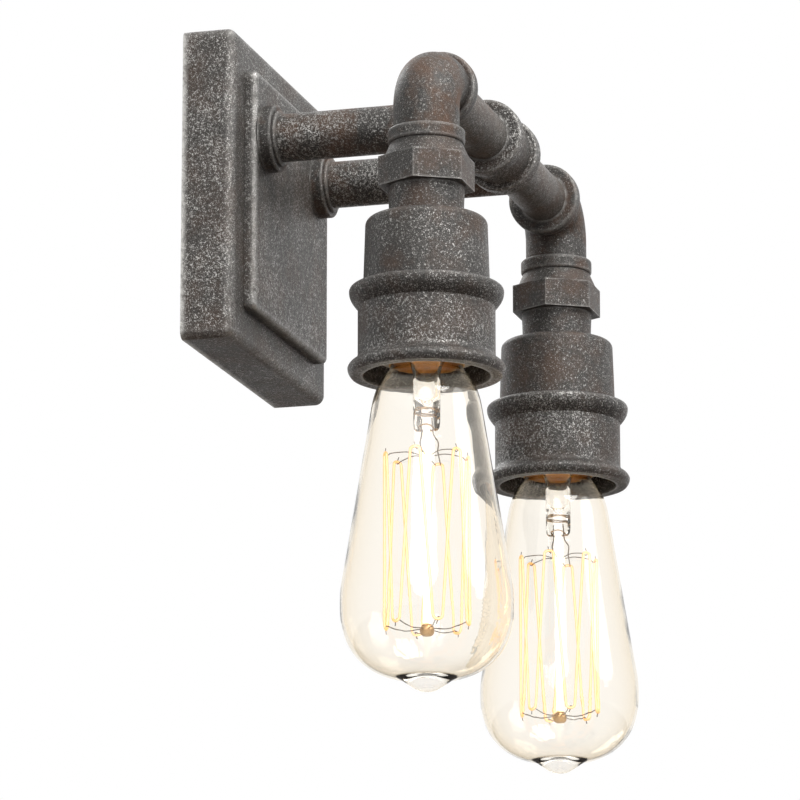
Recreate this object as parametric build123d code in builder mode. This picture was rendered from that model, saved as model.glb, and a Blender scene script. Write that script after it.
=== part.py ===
from build123d import *
from math import acos, cos, pi, sin
import os

# Industrial pipe wall light with two squirrel-cage lamps. Millimetres, +Z up, the room is towards -Y.
# The origin is on the wall, at the centre of the back plate. Heights along a lamp are counted from the
# crossbar's axis, so they are negative below it.

os.makedirs("parts", exist_ok=True)

# ---------------------------------------------------------------- driving dimensions

# Back plate: a square cast shell, open at the wall, with a raised panel on its front
plate_width = 114.3
plate_height = 114.3
plate_depth = 19.5
plate_wall = 2.8
plate_corner_radius = 3.0
plate_edge_radius = 3.5
panel_margin = 12.7
panel_proud = 4.5
panel_corner_radius = 2.5
panel_edge_radius = 1.8

# Pipe, size three eighths
pipe_od = 17.4
pipe_bore = 12.5
pipe_height = 21.5
thread_engagement = 10.0

# Layout of the pipework
arm_spacing = 64.0
crossbar_reach = 100.5
lamp_spacing = 182.0

# Arms' fastenings
arm_hole_clearance = 0.4
flange_diameter = 24.4
flange_thickness = 4.8
flange_hub_diameter = 20.4
flange_hub_height = 1.2
flange_edge_radius = 0.8
locknut_across_flats = 23.0
locknut_thickness = 4.5
washer_diameter = 26.0
washer_thickness = 1.2
pipe_beyond_locknut = 1.5

# Banded malleable fittings
elbow_bar_reach = 20.0
elbow_drop_reach = 25.0
elbow_body_diameter = 23.0
elbow_band_diameter = 26.8
elbow_band_width = 5.2
elbow_bend_radius = 12.6
coupling_length = 29.5
coupling_body_diameter = 23.0
coupling_band_diameter = 27.8
coupling_band_width = 6.0
coupling_stop_width = 3.0
band_edge_radius = 1.0
band_root_radius = 0.8

# Hexagon coupling under each elbow
cone_height = 5.2
cone_top_diameter = 25.2
hexagon_height = 10.4
hexagon_across_corners = 34.4
coupling_web = 2.0
spigot_length = 6.0

# Socket cup
neck_diameter = 26.5
neck_foot_diameter = 25.6
neck_height = 11.0
shell_flare = 1.6
shell_height = 24.4
shell_shoulder_radius = 2.6
cup_wall = 2.0
cup_roof = 3.4
cup_wire_hole = 10.4
skirt_length = 9.0
skirt_wall = 1.3

# Collar
collar_height = 31.2
collar_wall = 1.7
collar_fit = 1.7
bead_proud = 3.0
bead_height = 7.4
bead_crest_drop = 1.6
lip_proud = 3.5
lip_height = 7.7
lip_crest_rise = 2.8
lip_flat_setback = 1.2
bead_fullness = 0.5
roll_fullness = 0.4

# Porcelain lampholder
holder_wall = 3.5
holder_cup_gap = 1.3
holder_skirt_gap = 1.2
holder_mouth_setback = 5.6
holder_mouth_radius = 1.2
holder_floor_gap = 3.0
wiring_chamber_diameter = 24.0
wiring_chamber_depth = 10.0
holder_screw_offset = 9.0
holder_screw_diameter = 3.4
holder_screw_head_diameter = 6.0
holder_screw_head_height = 2.2
holder_screw_clearance = 0.3

# Lampholder contacts, bent from sheet brass
sheet_thickness = 0.6
cap_clearance = 0.6
contact_width = 6.0
terminal_spread = 4.4
terminal_rise = 8.0
spring_reach = 9.0
shell_mouth_setback = 1.0
slot_clearance = 0.2
contact_gap = 0.1

# Bulb: an E26 cap and a clear tapered envelope
lip_to_contact = 29.2
bulb_length = 138.2
cap_diameter = 26.0
cap_height = 25.5
cap_shoulder_drop = 6.5
cap_opening_drop = 4.4
cap_opening_diameter = 19.0
cap_sheet = 0.5
contact_diameter = 9.6
contact_height = 1.6
contact_crown_radius = 1.1
envelope_diameter = 59.0
envelope_wall = 0.9
envelope_neck_depth = 6.0
envelope_dome_height = 27.2
envelope_dome_fullness = 2.5
envelope_widest_rise = 31.0
envelope_belly_radius = 36.0
envelope_cone_angle = 9.4
shoulder_drop = 3.4
shoulder_radius = 14.4
haunch_drop = 8.3
haunch_radius = 17.2
cone_top_drop = 14.4
tip_blend_diameter = 22.0
tip_diameter = 13.6
tip_height = 3.6

# Bulb's inside: glass stem, filament and the wires that hold it
stem_diameter = 9.4
stem_wall = 1.0
stem_head_drop = 2.0
stem_foot_rise = 89.8
stem_press_length = 6.0
rod_diameter = 2.6
button_diameter = 5.2
button_height = 3.0
button_rise = 22.6
top_hooks_rise = 80.8
cage_diameter = 29.0
cage_hooks = 6
hook_loop_width = 1.6
filament_width = 0.5
support_width = 0.6

# Mounting strap and its screws
strap_width = 22.0
strap_thickness = 2.0
strap_bend_radius = 2.5
strap_fit = 0.3
ear_width = 52.0
ear_gap = 1.7
canopy_screw_spacing = 36.0
canopy_screw_setback = 9.0
canopy_screw_diameter = 4.0
canopy_screw_length = 9.0
canopy_screw_head_diameter = 8.0
canopy_screw_head_height = 2.6
canopy_screw_crown_radius = 1.6
screw_hole_clearance = 0.25
ledge_width = 34.0
ledge_rise = 3.0
ledge_thickness = 2.4
hook_engagement = 2.6
box_spacing_small = 69.85
box_spacing_large = 88.9
box_screw_slot_width = 4.6
strap_centre_hole = 10.4
ground_screw_diameter = 4.0
ground_screw_head_diameter = 8.4
ground_screw_head_height = 3.0
ground_screw_drop = 20.0

# Wires inside the pipes
lead_diameter = 2.2
lead_core_diameter = 1.2
lead_bare_length = 7.0
lead_tail_length = 42.0
lead_turn_radius = 5.0
lead_pipe_gap = 4.0

# ---------------------------------------------------------------- derived sizes

sides = (("left", -1), ("right", 1))
pipe_radius = pipe_od / 2
bore_radius = pipe_bore / 2
plate_inner_depth = plate_depth - plate_wall
panel_face = plate_depth + panel_proud
inner_half_height = plate_height / 2 - plate_wall
arm_inner_end = plate_inner_depth - washer_thickness - locknut_thickness - pipe_beyond_locknut
ear_length = plate_inner_depth - ear_gap
lead_wall_gap = arm_inner_end - lead_pipe_gap

# round the bulb's cap: screw shell, porcelain, cup, skirt and collar, each outside the one before
holder_bore = cap_diameter + 2 * (cap_clearance + sheet_thickness)
holder_diameter = holder_bore + 2 * holder_wall
shell_top_diameter = holder_diameter + 2 * (holder_cup_gap + cup_wall)
shell_foot_diameter = shell_top_diameter + shell_flare
skirt_diameter = holder_diameter + 2 * (holder_skirt_gap + skirt_wall)
collar_opening = skirt_diameter + 2 * collar_fit
collar_diameter = collar_opening + 2 * collar_wall
bead_diameter = collar_diameter + 2 * bead_proud
lip_diameter = collar_diameter + 2 * lip_proud
lip_flat_diameter = lip_diameter - 2 * lip_flat_setback

elbow_foot = -elbow_drop_reach
hexagon_top = elbow_foot - cone_height
hexagon_foot = hexagon_top - hexagon_height
neck_foot = hexagon_foot - neck_height
cup_ceiling = neck_foot - cup_roof
shell_foot = neck_foot - shell_height
skirt_foot = shell_foot - skirt_length
collar_foot = shell_foot - collar_height
contact_plane = collar_foot + lip_to_contact
holder_mouth = collar_foot + holder_mouth_setback
holder_floor = contact_plane + holder_floor_gap
chamber_floor = cup_ceiling - wiring_chamber_depth
bulb_tip = contact_plane - bulb_length
cap_foot = contact_plane - cap_height
widest = bulb_tip + envelope_widest_rise
lead_offset = (terminal_spread - sheet_thickness - lead_core_diameter) / 2


def rims(part, radius):
    """Circular edges that have one radius."""
    return part.edges().filter_by(GeomType.CIRCLE).filter_by(lambda rim: abs(rim.radius - radius) < 1e-4)


def lamp_section(sign, x_dir=(1, 0, 0), z_dir=(0, -1, 0)):
    """Upright plane through a lamp's axis: x is the radius, y the height from the crossbar's axis."""
    return Plane(origin=lamp_axis(sign).position, x_dir=x_dir, z_dir=z_dir)


def lamp_level(sign, height):
    """Level plane across a lamp's axis."""
    return Plane(origin=(sign * lamp_spacing / 2, -crossbar_reach, pipe_height + height))


def lamp_axis(sign):
    """A lamp's upright axis."""
    return Axis((sign * lamp_spacing / 2, -crossbar_reach, pipe_height), (0, 0, 1))


# ---------------------------------------------------------------- back plate

with BuildPart() as backplate:
    with BuildSketch(Plane.XZ) as outline:
        Rectangle(plate_width, plate_height)
        fillet(outline.vertices(), plate_corner_radius)
    extrude(amount=plate_depth)
    fillet(backplate.faces().sort_by(Axis.Y)[0].edges(), plate_edge_radius)
    with BuildSketch(Plane.XZ.offset(plate_depth)) as panel:
        Rectangle(plate_width - 2 * panel_margin, plate_height - 2 * panel_margin)
        fillet(panel.vertices(), panel_corner_radius)
    extrude(amount=panel_proud)
    fillet(backplate.faces().sort_by(Axis.Y)[0].edges(), panel_edge_radius)
    with BuildSketch(Plane.XZ) as hollow:
        Rectangle(plate_width - 2 * plate_wall, plate_height - 2 * plate_wall)
    extrude(amount=plate_inner_depth, mode=Mode.SUBTRACT)
    # ledge that the strap's hook holds from behind
    with BuildSketch(Plane.XZ) as ledge:
        with Locations((0, -inner_half_height)):
            Rectangle(ledge_width, ledge_rise, align=(Align.CENTER, Align.MIN))
    extrude(amount=ledge_thickness)
    with BuildSketch(Plane.XZ.offset(plate_inner_depth)) as arm_holes:
        with Locations((0, pipe_height)):
            with GridLocations(arm_spacing, 1, 2, 1):
                Circle(pipe_radius + arm_hole_clearance)
    extrude(amount=plate_wall + panel_proud, mode=Mode.SUBTRACT)
    with BuildSketch(Plane.XY.offset(inner_half_height)) as top_holes:
        with Locations((0, -canopy_screw_setback)):
            with GridLocations(canopy_screw_spacing, 1, 2, 1):
                Circle(canopy_screw_diameter / 2 + screw_hole_clearance)
    extrude(amount=plate_wall, mode=Mode.SUBTRACT)
backplate.part.label = "backplate"
export_step(backplate.part, "parts/backplate.step")

# ---------------------------------------------------------------- mounting strap and its screws

strap_middle = strap_thickness / 2
ear_height = inner_half_height - strap_fit - strap_middle
jog_height = -inner_half_height + ledge_rise + strap_fit + strap_middle
hook_front = ledge_thickness + strap_fit + strap_middle
hook_foot = -inner_half_height + ledge_rise - hook_engagement
slot_spacing = (box_spacing_small + box_spacing_large) / 2
slot_length = (box_spacing_large - box_spacing_small) / 2 + box_screw_slot_width

with BuildPart() as mounting_strap:
    # seen from the side, with the wall on the right: x is Y and y is Z
    with BuildSketch(Plane.YZ) as strap_profile:
        with BuildLine() as strap_line:
            FilletPolyline(
                (-ear_length, ear_height),
                (-strap_middle, ear_height),
                (-strap_middle, jog_height + strap_bend_radius),
                radius=strap_bend_radius,
            )
            Polyline(
                (-strap_middle, jog_height + strap_bend_radius),
                (-strap_middle, jog_height),
                (-hook_front, jog_height),
                (-hook_front, hook_foot),
            )
        trace(strap_line.edges(), strap_thickness)
    extrude(amount=strap_width / 2, both=True)
    with BuildSketch(Plane.XY.offset(ear_height - strap_middle)) as ear:
        with Locations((0, -ear_length)):
            Rectangle(ear_width, ear_length - 2 * strap_thickness, align=(Align.CENTER, Align.MIN))
    extrude(amount=strap_thickness)
    with BuildSketch(Plane.XZ) as box_slots:
        with GridLocations(1, slot_spacing, 1, 2):
            SlotOverall(slot_length, box_screw_slot_width, rotation=90)
        Circle(strap_centre_hole / 2)
        with Locations((0, -ground_screw_drop)):
            Circle(ground_screw_diameter / 2)
    extrude(amount=strap_thickness, mode=Mode.SUBTRACT)
    with BuildSketch(Plane.XY.offset(ear_height - strap_middle)) as ear_holes:
        with Locations((0, -canopy_screw_setback)):
            with GridLocations(canopy_screw_spacing, 1, 2, 1):
                Circle(canopy_screw_diameter / 2)
    extrude(amount=strap_thickness, mode=Mode.SUBTRACT)
mounting_strap.part.label = "mounting_strap"
export_step(mounting_strap.part, "parts/mounting_strap.step")

with BuildPart() as canopy_screws:
    with BuildSketch(Plane.XY.offset(plate_height / 2)) as screw_shanks:
        with Locations((0, -canopy_screw_setback)):
            with GridLocations(canopy_screw_spacing, 1, 2, 1):
                Circle(canopy_screw_diameter / 2)
    extrude(amount=-canopy_screw_length)
    with BuildSketch(Plane.XY.offset(plate_height / 2)) as screw_heads:
        with Locations((0, -canopy_screw_setback)):
            with GridLocations(canopy_screw_spacing, 1, 2, 1):
                Circle(canopy_screw_head_diameter / 2)
    extrude(amount=canopy_screw_head_height)
    head_rims = rims(canopy_screws, canopy_screw_head_diameter / 2).group_by(Axis.Z)[-1]
    fillet(head_rims, canopy_screw_crown_radius)
canopy_screws.part.label = "canopy_screws"
export_step(canopy_screws.part, "parts/canopy_screws.step")

with BuildPart() as ground_screw:
    with BuildSketch(Plane.XZ) as ground_shank:
        with Locations((0, -ground_screw_drop)):
            Circle(ground_screw_diameter / 2)
    extrude(amount=strap_thickness)
    with BuildSketch(Plane.XZ.offset(strap_thickness)) as ground_head:
        with Locations((0, -ground_screw_drop)):
            RegularPolygon(ground_screw_head_diameter / 2, 6)
    extrude(amount=ground_screw_head_height)
ground_screw.part.label = "ground_screw"
export_step(ground_screw.part, "parts/ground_screw.step")

# ---------------------------------------------------------------- arms

for side, sign in sides:
    arm_x = sign * arm_spacing / 2

    with BuildPart() as arm_pipe:
        with BuildSketch(Plane.XZ.offset(arm_inner_end)) as arm_ring:
            with Locations((arm_x, pipe_height)):
                Circle(pipe_radius)
                Circle(bore_radius, mode=Mode.SUBTRACT)
        extrude(amount=crossbar_reach - arm_inner_end)
        # saddle that fits the crossbar
        with BuildSketch(Plane.YZ.offset(arm_x)) as saddle:
            with Locations((-crossbar_reach, pipe_height)):
                Circle(pipe_radius)
        extrude(amount=pipe_od, both=True, mode=Mode.SUBTRACT)
    arm_pipe.part.label = f"arm_pipe_{side}"
    export_step(arm_pipe.part, f"parts/arm_pipe_{side}.step")

    with BuildPart() as arm_flange:
        with BuildSketch(Plane.XZ.offset(panel_face)) as flange_ring:
            with Locations((arm_x, pipe_height)):
                Circle(flange_diameter / 2)
        extrude(amount=flange_thickness)
        with BuildSketch(Plane.XZ.offset(panel_face + flange_thickness)) as flange_hub:
            with Locations((arm_x, pipe_height)):
                Circle(flange_hub_diameter / 2)
        extrude(amount=flange_hub_height)
        front_rims = rims(arm_flange, flange_diameter / 2) + rims(arm_flange, flange_hub_diameter / 2)
        fillet(front_rims.sort_by(Axis.Y)[:2], flange_edge_radius)
        with BuildSketch(Plane.XZ.offset(panel_face)) as flange_bore:
            with Locations((arm_x, pipe_height)):
                Circle(pipe_radius)
        extrude(amount=flange_thickness + flange_hub_height, mode=Mode.SUBTRACT)
    arm_flange.part.label = f"arm_flange_{side}"
    export_step(arm_flange.part, f"parts/arm_flange_{side}.step")

    with BuildPart() as arm_washer:
        with BuildSketch(Plane.XZ.offset(plate_inner_depth - washer_thickness)) as washer_ring:
            with Locations((arm_x, pipe_height)):
                Circle(washer_diameter / 2)
                Circle(pipe_radius + arm_hole_clearance, mode=Mode.SUBTRACT)
        extrude(amount=washer_thickness)
    arm_washer.part.label = f"arm_washer_{side}"
    export_step(arm_washer.part, f"parts/arm_washer_{side}.step")

    with BuildPart() as arm_locknut:
        locknut_face = plate_inner_depth - washer_thickness - locknut_thickness
        with BuildSketch(Plane.XZ.offset(locknut_face)) as locknut_section:
            with Locations((arm_x, pipe_height)):
                RegularPolygon(locknut_across_flats / 2, 6, major_radius=False)
                Circle(pipe_radius, mode=Mode.SUBTRACT)
        extrude(amount=locknut_thickness)
    arm_locknut.part.label = f"arm_locknut_{side}"
    export_step(arm_locknut.part, f"parts/arm_locknut_{side}.step")

# ---------------------------------------------------------------- crossbar

for side, sign in sides:
    with BuildPart() as crossbar_pipe:
        bar_start = sign * coupling_stop_width / 2
        bar_length = lamp_spacing / 2 - elbow_bar_reach + thread_engagement - coupling_stop_width / 2
        bar_centre = (-crossbar_reach, pipe_height)
        with BuildSketch(Plane.YZ.offset(bar_start)) as bar_ring:
            with Locations(bar_centre):
                Circle(pipe_radius)
                Circle(bore_radius, mode=Mode.SUBTRACT)
        extrude(amount=sign * bar_length)
        # opening into the arm
        with BuildSketch(Plane.XZ.offset(crossbar_reach - pipe_od)) as arm_opening:
            with Locations((sign * arm_spacing / 2, pipe_height)):
                Circle(bore_radius)
        extrude(amount=pipe_od, mode=Mode.SUBTRACT)
    crossbar_pipe.part.label = f"crossbar_pipe_{side}"
    export_step(crossbar_pipe.part, f"parts/crossbar_pipe_{side}.step")

with BuildPart() as centre_coupling:
    coupling_plane = Plane(origin=(0, -crossbar_reach, pipe_height), z_dir=(1, 0, 0))
    with BuildSketch(coupling_plane) as coupling_body:
        Circle(coupling_body_diameter / 2)
    extrude(amount=coupling_length / 2, both=True)
    for end in (-1, 1):
        with BuildSketch(coupling_plane.offset(end * coupling_length / 2)) as coupling_band:
            Circle(coupling_band_diameter / 2)
        extrude(amount=-end * coupling_band_width)
    fillet(rims(centre_coupling, coupling_band_diameter / 2), band_edge_radius)
    fillet(rims(centre_coupling, coupling_body_diameter / 2), band_root_radius)
    with BuildSketch(coupling_plane) as coupling_bore:
        Circle(bore_radius)
    extrude(amount=coupling_length / 2, both=True, mode=Mode.SUBTRACT)
    for end in (-1, 1):
        with BuildSketch(coupling_plane.offset(end * coupling_length / 2)) as coupling_socket:
            Circle(pipe_radius)
        extrude(amount=-end * (coupling_length - coupling_stop_width) / 2, mode=Mode.SUBTRACT)
centre_coupling.part.label = "centre_coupling"
export_step(centre_coupling.part, "parts/centre_coupling.step")

# ---------------------------------------------------------------- elbows

for side, sign in sides:
    lamp_x = sign * lamp_spacing / 2
    elbow_centre = (lamp_x, -crossbar_reach, pipe_height)
    bar_mouth = Plane(
        origin=(lamp_x - sign * elbow_bar_reach, -crossbar_reach, pipe_height),
        x_dir=(0, 1, 0),
        z_dir=(sign, 0, 0),
    )
    drop_mouth = lamp_level(sign, elbow_foot)
    with BuildPart() as elbow:
        with BuildLine() as elbow_route:
            FilletPolyline(bar_mouth.origin, elbow_centre, drop_mouth.origin, radius=elbow_bend_radius)
        with BuildSketch(bar_mouth) as elbow_section:
            Circle(elbow_body_diameter / 2)
        sweep(path=elbow_route.wires()[0])
        for mouth in (bar_mouth, drop_mouth):
            with BuildSketch(mouth) as elbow_band:
                Circle(elbow_band_diameter / 2)
            extrude(amount=elbow_band_width)
        fillet(rims(elbow, elbow_band_diameter / 2), band_edge_radius)
        with BuildSketch(bar_mouth) as elbow_bore:
            Circle(bore_radius)
        sweep(path=elbow_route.wires()[0], mode=Mode.SUBTRACT)
        for mouth in (bar_mouth, drop_mouth):
            with BuildSketch(mouth) as elbow_socket:
                Circle(pipe_radius)
            extrude(amount=thread_engagement, mode=Mode.SUBTRACT)
    elbow.part.label = f"elbow_{side}"
    export_step(elbow.part, f"parts/elbow_{side}.step")

# ---------------------------------------------------------------- hexagon couplings and their nipples

nipple_in_coupling = cone_height + hexagon_height - spigot_length - coupling_web

for side, sign in sides:
    with BuildPart() as nipple:
        with BuildSketch(lamp_level(sign, elbow_foot - nipple_in_coupling)) as nipple_ring:
            Circle(pipe_radius)
            Circle(bore_radius, mode=Mode.SUBTRACT)
        extrude(amount=nipple_in_coupling + thread_engagement)
    nipple.part.label = f"nipple_{side}"
    export_step(nipple.part, f"parts/nipple_{side}.step")

    with BuildPart() as hexagon_coupling:
        with BuildSketch(lamp_level(sign, hexagon_foot)) as hexagon:
            RegularPolygon(hexagon_across_corners / 2, 6)
        extrude(amount=hexagon_height)
        with BuildSketch(lamp_level(sign, hexagon_top)) as cone_foot:
            Circle(hexagon_across_corners / 2 * cos(pi / 6))
        with BuildSketch(lamp_level(sign, elbow_foot)) as cone_top:
            Circle(cone_top_diameter / 2)
        loft()
        with BuildSketch(lamp_level(sign, elbow_foot)) as nipple_socket:
            Circle(pipe_radius)
        extrude(amount=-nipple_in_coupling, mode=Mode.SUBTRACT)
        with BuildSketch(lamp_level(sign, hexagon_foot)) as spigot_socket:
            Circle(pipe_radius)
        extrude(amount=spigot_length, mode=Mode.SUBTRACT)
        with BuildSketch(lamp_level(sign, hexagon_foot)) as wire_way:
            Circle(cup_wire_hole / 2)
        extrude(amount=hexagon_height + cone_height, mode=Mode.SUBTRACT)
    hexagon_coupling.part.label = f"hexagon_coupling_{side}"
    export_step(hexagon_coupling.part, f"parts/hexagon_coupling_{side}.step")

# ---------------------------------------------------------------- socket cups and collars

for side, sign in sides:
    with BuildPart() as socket_cup:
        with BuildSketch(lamp_section(sign)) as cup_profile:
            with BuildLine():
                Polyline(
                    (cup_wire_hole / 2, hexagon_foot + spigot_length),
                    (pipe_radius, hexagon_foot + spigot_length),
                    (pipe_radius, hexagon_foot),
                    (neck_diameter / 2, hexagon_foot),
                    (neck_foot_diameter / 2, neck_foot),
                    (shell_top_diameter / 2, neck_foot),
                    (shell_foot_diameter / 2, shell_foot),
                    (skirt_diameter / 2, shell_foot),
                    (skirt_diameter / 2, skirt_foot),
                    (skirt_diameter / 2 - skirt_wall, skirt_foot),
                    (skirt_diameter / 2 - skirt_wall, cup_ceiling),
                    (cup_wire_hole / 2, cup_ceiling),
                    close=True,
                )
            make_face()
            shoulder = cup_profile.vertices().sort_by_distance((shell_top_diameter / 2, neck_foot))[0]
            fillet(shoulder, shell_shoulder_radius)
        revolve(axis=lamp_axis(sign))
        with BuildSketch(lamp_level(sign, cup_ceiling)) as cup_screw_holes:
            with GridLocations(2 * holder_screw_offset, 1, 2, 1):
                Circle(holder_screw_diameter / 2)
        extrude(amount=cup_roof, mode=Mode.SUBTRACT)
    socket_cup.part.label = f"socket_cup_{side}"
    export_step(socket_cup.part, f"parts/socket_cup_{side}.step")

    with BuildPart() as collar:
        bead_crest = shell_foot - bead_crest_drop
        bead_foot = shell_foot - bead_height
        lip_crest = collar_foot + lip_crest_rise
        lip_top = collar_foot + lip_height
        collar_radius = collar_diameter / 2
        bead_turn_radius = (bead_diameter / 2 + collar_radius) / 2 + bead_fullness
        with BuildSketch(lamp_section(sign)) as collar_profile:
            with BuildLine():
                Line((skirt_diameter / 2, shell_foot), (bead_diameter / 2 - bead_crest_drop, shell_foot))
                bead_top = RadiusArc(
                    (bead_diameter / 2 - bead_crest_drop, shell_foot),
                    (bead_diameter / 2, bead_crest),
                    bead_crest_drop,
                )
                bead_back = TangentArc(
                    bead_top @ 1,
                    (bead_turn_radius, (bead_crest + bead_foot) / 2 - roll_fullness),
                    tangent=(0, -1),
                )
                TangentArc(bead_back @ 1, (collar_radius, bead_foot), tangent=bead_back % 1)
                Line((collar_radius, bead_foot), (collar_radius, lip_top))
                flare = TangentArc(
                    (collar_radius, lip_top),
                    ((lip_diameter / 2 + collar_radius) / 2, (lip_top + lip_crest) / 2 - roll_fullness),
                    tangent=(0, -1),
                )
                crest = TangentArc(flare @ 1, (lip_diameter / 2, lip_crest), tangent=flare % 1)
                TangentArc(crest @ 1, (lip_flat_diameter / 2, collar_foot), tangent=(0, -1))
                Polyline(
                    (lip_flat_diameter / 2, collar_foot),
                    (collar_opening / 2, collar_foot),
                    (collar_opening / 2, skirt_foot - skirt_wall),
                    (skirt_diameter / 2, skirt_foot),
                    (skirt_diameter / 2, shell_foot),
                )
            make_face()
        revolve(axis=lamp_axis(sign))
    collar.part.label = f"collar_{side}"
    export_step(collar.part, f"parts/collar_{side}.step")

# ---------------------------------------------------------------- lampholders

for side, sign in sides:
    with BuildPart() as lampholder:
        with BuildSketch(lamp_section(sign)) as holder_profile:
            with BuildLine():
                Polyline(
                    (wiring_chamber_diameter / 2, cup_ceiling),
                    (holder_diameter / 2, cup_ceiling),
                    (holder_diameter / 2, holder_mouth),
                    (holder_bore / 2, holder_mouth),
                    (holder_bore / 2, holder_floor),
                    (0, holder_floor),
                    (0, chamber_floor),
                    (wiring_chamber_diameter / 2, chamber_floor),
                    close=True,
                )
            make_face()
        revolve(axis=lamp_axis(sign))
        fillet(rims(lampholder, holder_diameter / 2).sort_by(Axis.Z)[0], holder_mouth_radius)
        with BuildSketch(lamp_level(sign, holder_floor)) as terminal_slots:
            with GridLocations(1, terminal_spread, 1, 2):
                Rectangle(contact_width + 2 * slot_clearance, sheet_thickness + 2 * slot_clearance)
        extrude(amount=chamber_floor - holder_floor, mode=Mode.SUBTRACT)
        with BuildSketch(lamp_level(sign, holder_floor)) as screw_holes:
            with GridLocations(2 * holder_screw_offset, 1, 2, 1):
                Circle(holder_screw_diameter / 2 + holder_screw_clearance)
        extrude(amount=chamber_floor - holder_floor, mode=Mode.SUBTRACT)
        with BuildSketch(lamp_level(sign, holder_floor)) as screw_seats:
            with GridLocations(2 * holder_screw_offset, 1, 2, 1):
                Circle(holder_screw_head_diameter / 2 + holder_screw_clearance)
        extrude(amount=holder_screw_head_height, mode=Mode.SUBTRACT)
    lampholder.part.label = f"lampholder_{side}"
    export_step(lampholder.part, f"parts/lampholder_{side}.step")

for side, sign in sides:
    with BuildPart() as holder_screws:
        screw_places = GridLocations(2 * holder_screw_offset, 1, 2, 1)
        with BuildSketch(lamp_level(sign, holder_floor)) as holder_screw_heads:
            with screw_places:
                Circle(holder_screw_head_diameter / 2)
        extrude(amount=holder_screw_head_height)
        with BuildSketch(lamp_level(sign, holder_floor)) as holder_screw_shanks:
            with screw_places:
                Circle(holder_screw_diameter / 2)
        extrude(amount=cup_ceiling + cup_roof - holder_floor)
    holder_screws.part.label = f"lampholder_screws_{side}"
    export_step(holder_screws.part, f"parts/lampholder_screws_{side}.step")

# ---------------------------------------------------------------- brass in the lampholders

terminal_top = chamber_floor + terminal_rise
floor_sheet = holder_floor - sheet_thickness / 2

for side, sign in sides:
    # seen from the lamp's right: x runs towards the wall, y is the height
    side_section = lamp_section(sign, x_dir=(0, 1, 0), z_dir=(1, 0, 0))

    with BuildPart() as screw_shell:
        with BuildSketch(lamp_section(sign)) as shell_profile:
            with BuildLine():
                Polyline(
                    (holder_bore / 2, holder_floor),
                    (holder_bore / 2, holder_mouth + shell_mouth_setback),
                    (holder_bore / 2 - sheet_thickness, holder_mouth + shell_mouth_setback),
                    (holder_bore / 2 - sheet_thickness, holder_floor),
                    close=True,
                )
            make_face()
        revolve(axis=lamp_axis(sign))
        with BuildSketch(side_section) as shell_tongue:
            with BuildLine() as tongue_line:
                Polyline(
                    (holder_bore / 2 - 1.5 * sheet_thickness, floor_sheet),
                    (terminal_spread / 2, floor_sheet),
                    (terminal_spread / 2, terminal_top),
                )
            trace(tongue_line.edges(), sheet_thickness)
        extrude(amount=contact_width / 2, both=True)
    screw_shell.part.label = f"screw_shell_{side}"
    export_step(screw_shell.part, f"parts/screw_shell_{side}.step")

    with BuildPart() as centre_contact:
        contact_height_in_socket = contact_plane + contact_gap + sheet_thickness / 2
        with BuildSketch(side_section) as contact_profile:
            with BuildLine() as contact_line:
                Polyline(
                    (-terminal_spread / 2, terminal_top),
                    (-terminal_spread / 2, floor_sheet),
                    (-spring_reach, floor_sheet),
                    (-spring_reach, floor_sheet - 2 * sheet_thickness),
                    (-terminal_spread / 2, contact_height_in_socket),
                    (terminal_spread / 2, contact_height_in_socket),
                )
            trace(contact_line.edges(), sheet_thickness)
        extrude(amount=contact_width / 2, both=True)
    centre_contact.part.label = f"centre_contact_{side}"
    export_step(centre_contact.part, f"parts/centre_contact_{side}.step")

# ---------------------------------------------------------------- wires inside the pipes

lead_end = pipe_height + terminal_top + sheet_thickness

for side, sign in sides:
    for duty, shift in (("live", -lead_offset), ("neutral", lead_offset)):
        arm_x = sign * arm_spacing / 2 + shift
        lamp_x = sign * lamp_spacing / 2 + shift
        wall_y = -lead_wall_gap + shift
        bar_y = -crossbar_reach + shift
        bar_z = pipe_height + shift
        tail_z = bar_z - lead_tail_length
        with BuildPart() as lead:
            with BuildLine() as lead_route:
                FilletPolyline(
                    (arm_x, wall_y, tail_z),
                    (arm_x, wall_y, bar_z),
                    (arm_x, bar_y, bar_z),
                    (lamp_x, bar_y, bar_z),
                    (lamp_x, bar_y, lead_end),
                    radius=[lead_turn_radius, lead_turn_radius, elbow_bend_radius],
                )
            with BuildSketch(Plane(origin=(arm_x, wall_y, tail_z))) as lead_section:
                Circle(lead_diameter / 2)
            sweep(path=lead_route.wires()[0])
            # bare ends: one for the supply, one at the terminal
            for end in ((arm_x, wall_y, tail_z), (lamp_x, bar_y, lead_end)):
                with BuildSketch(Plane(origin=end)) as lead_core:
                    Circle(lead_core_diameter / 2)
                extrude(amount=-lead_bare_length)
        lead.part.label = f"lead_{duty}_{side}"
        export_step(lead.part, f"parts/lead_{duty}_{side}.step")

# ---------------------------------------------------------------- bulbs

cap_radius = cap_diameter / 2
cap_opening_radius = cap_opening_diameter / 2
cap_top = contact_plane - cap_opening_drop
cap_shoulder = contact_plane - cap_shoulder_drop
neck_radius = cap_radius - cap_sheet
dome_steps = 6


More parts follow.
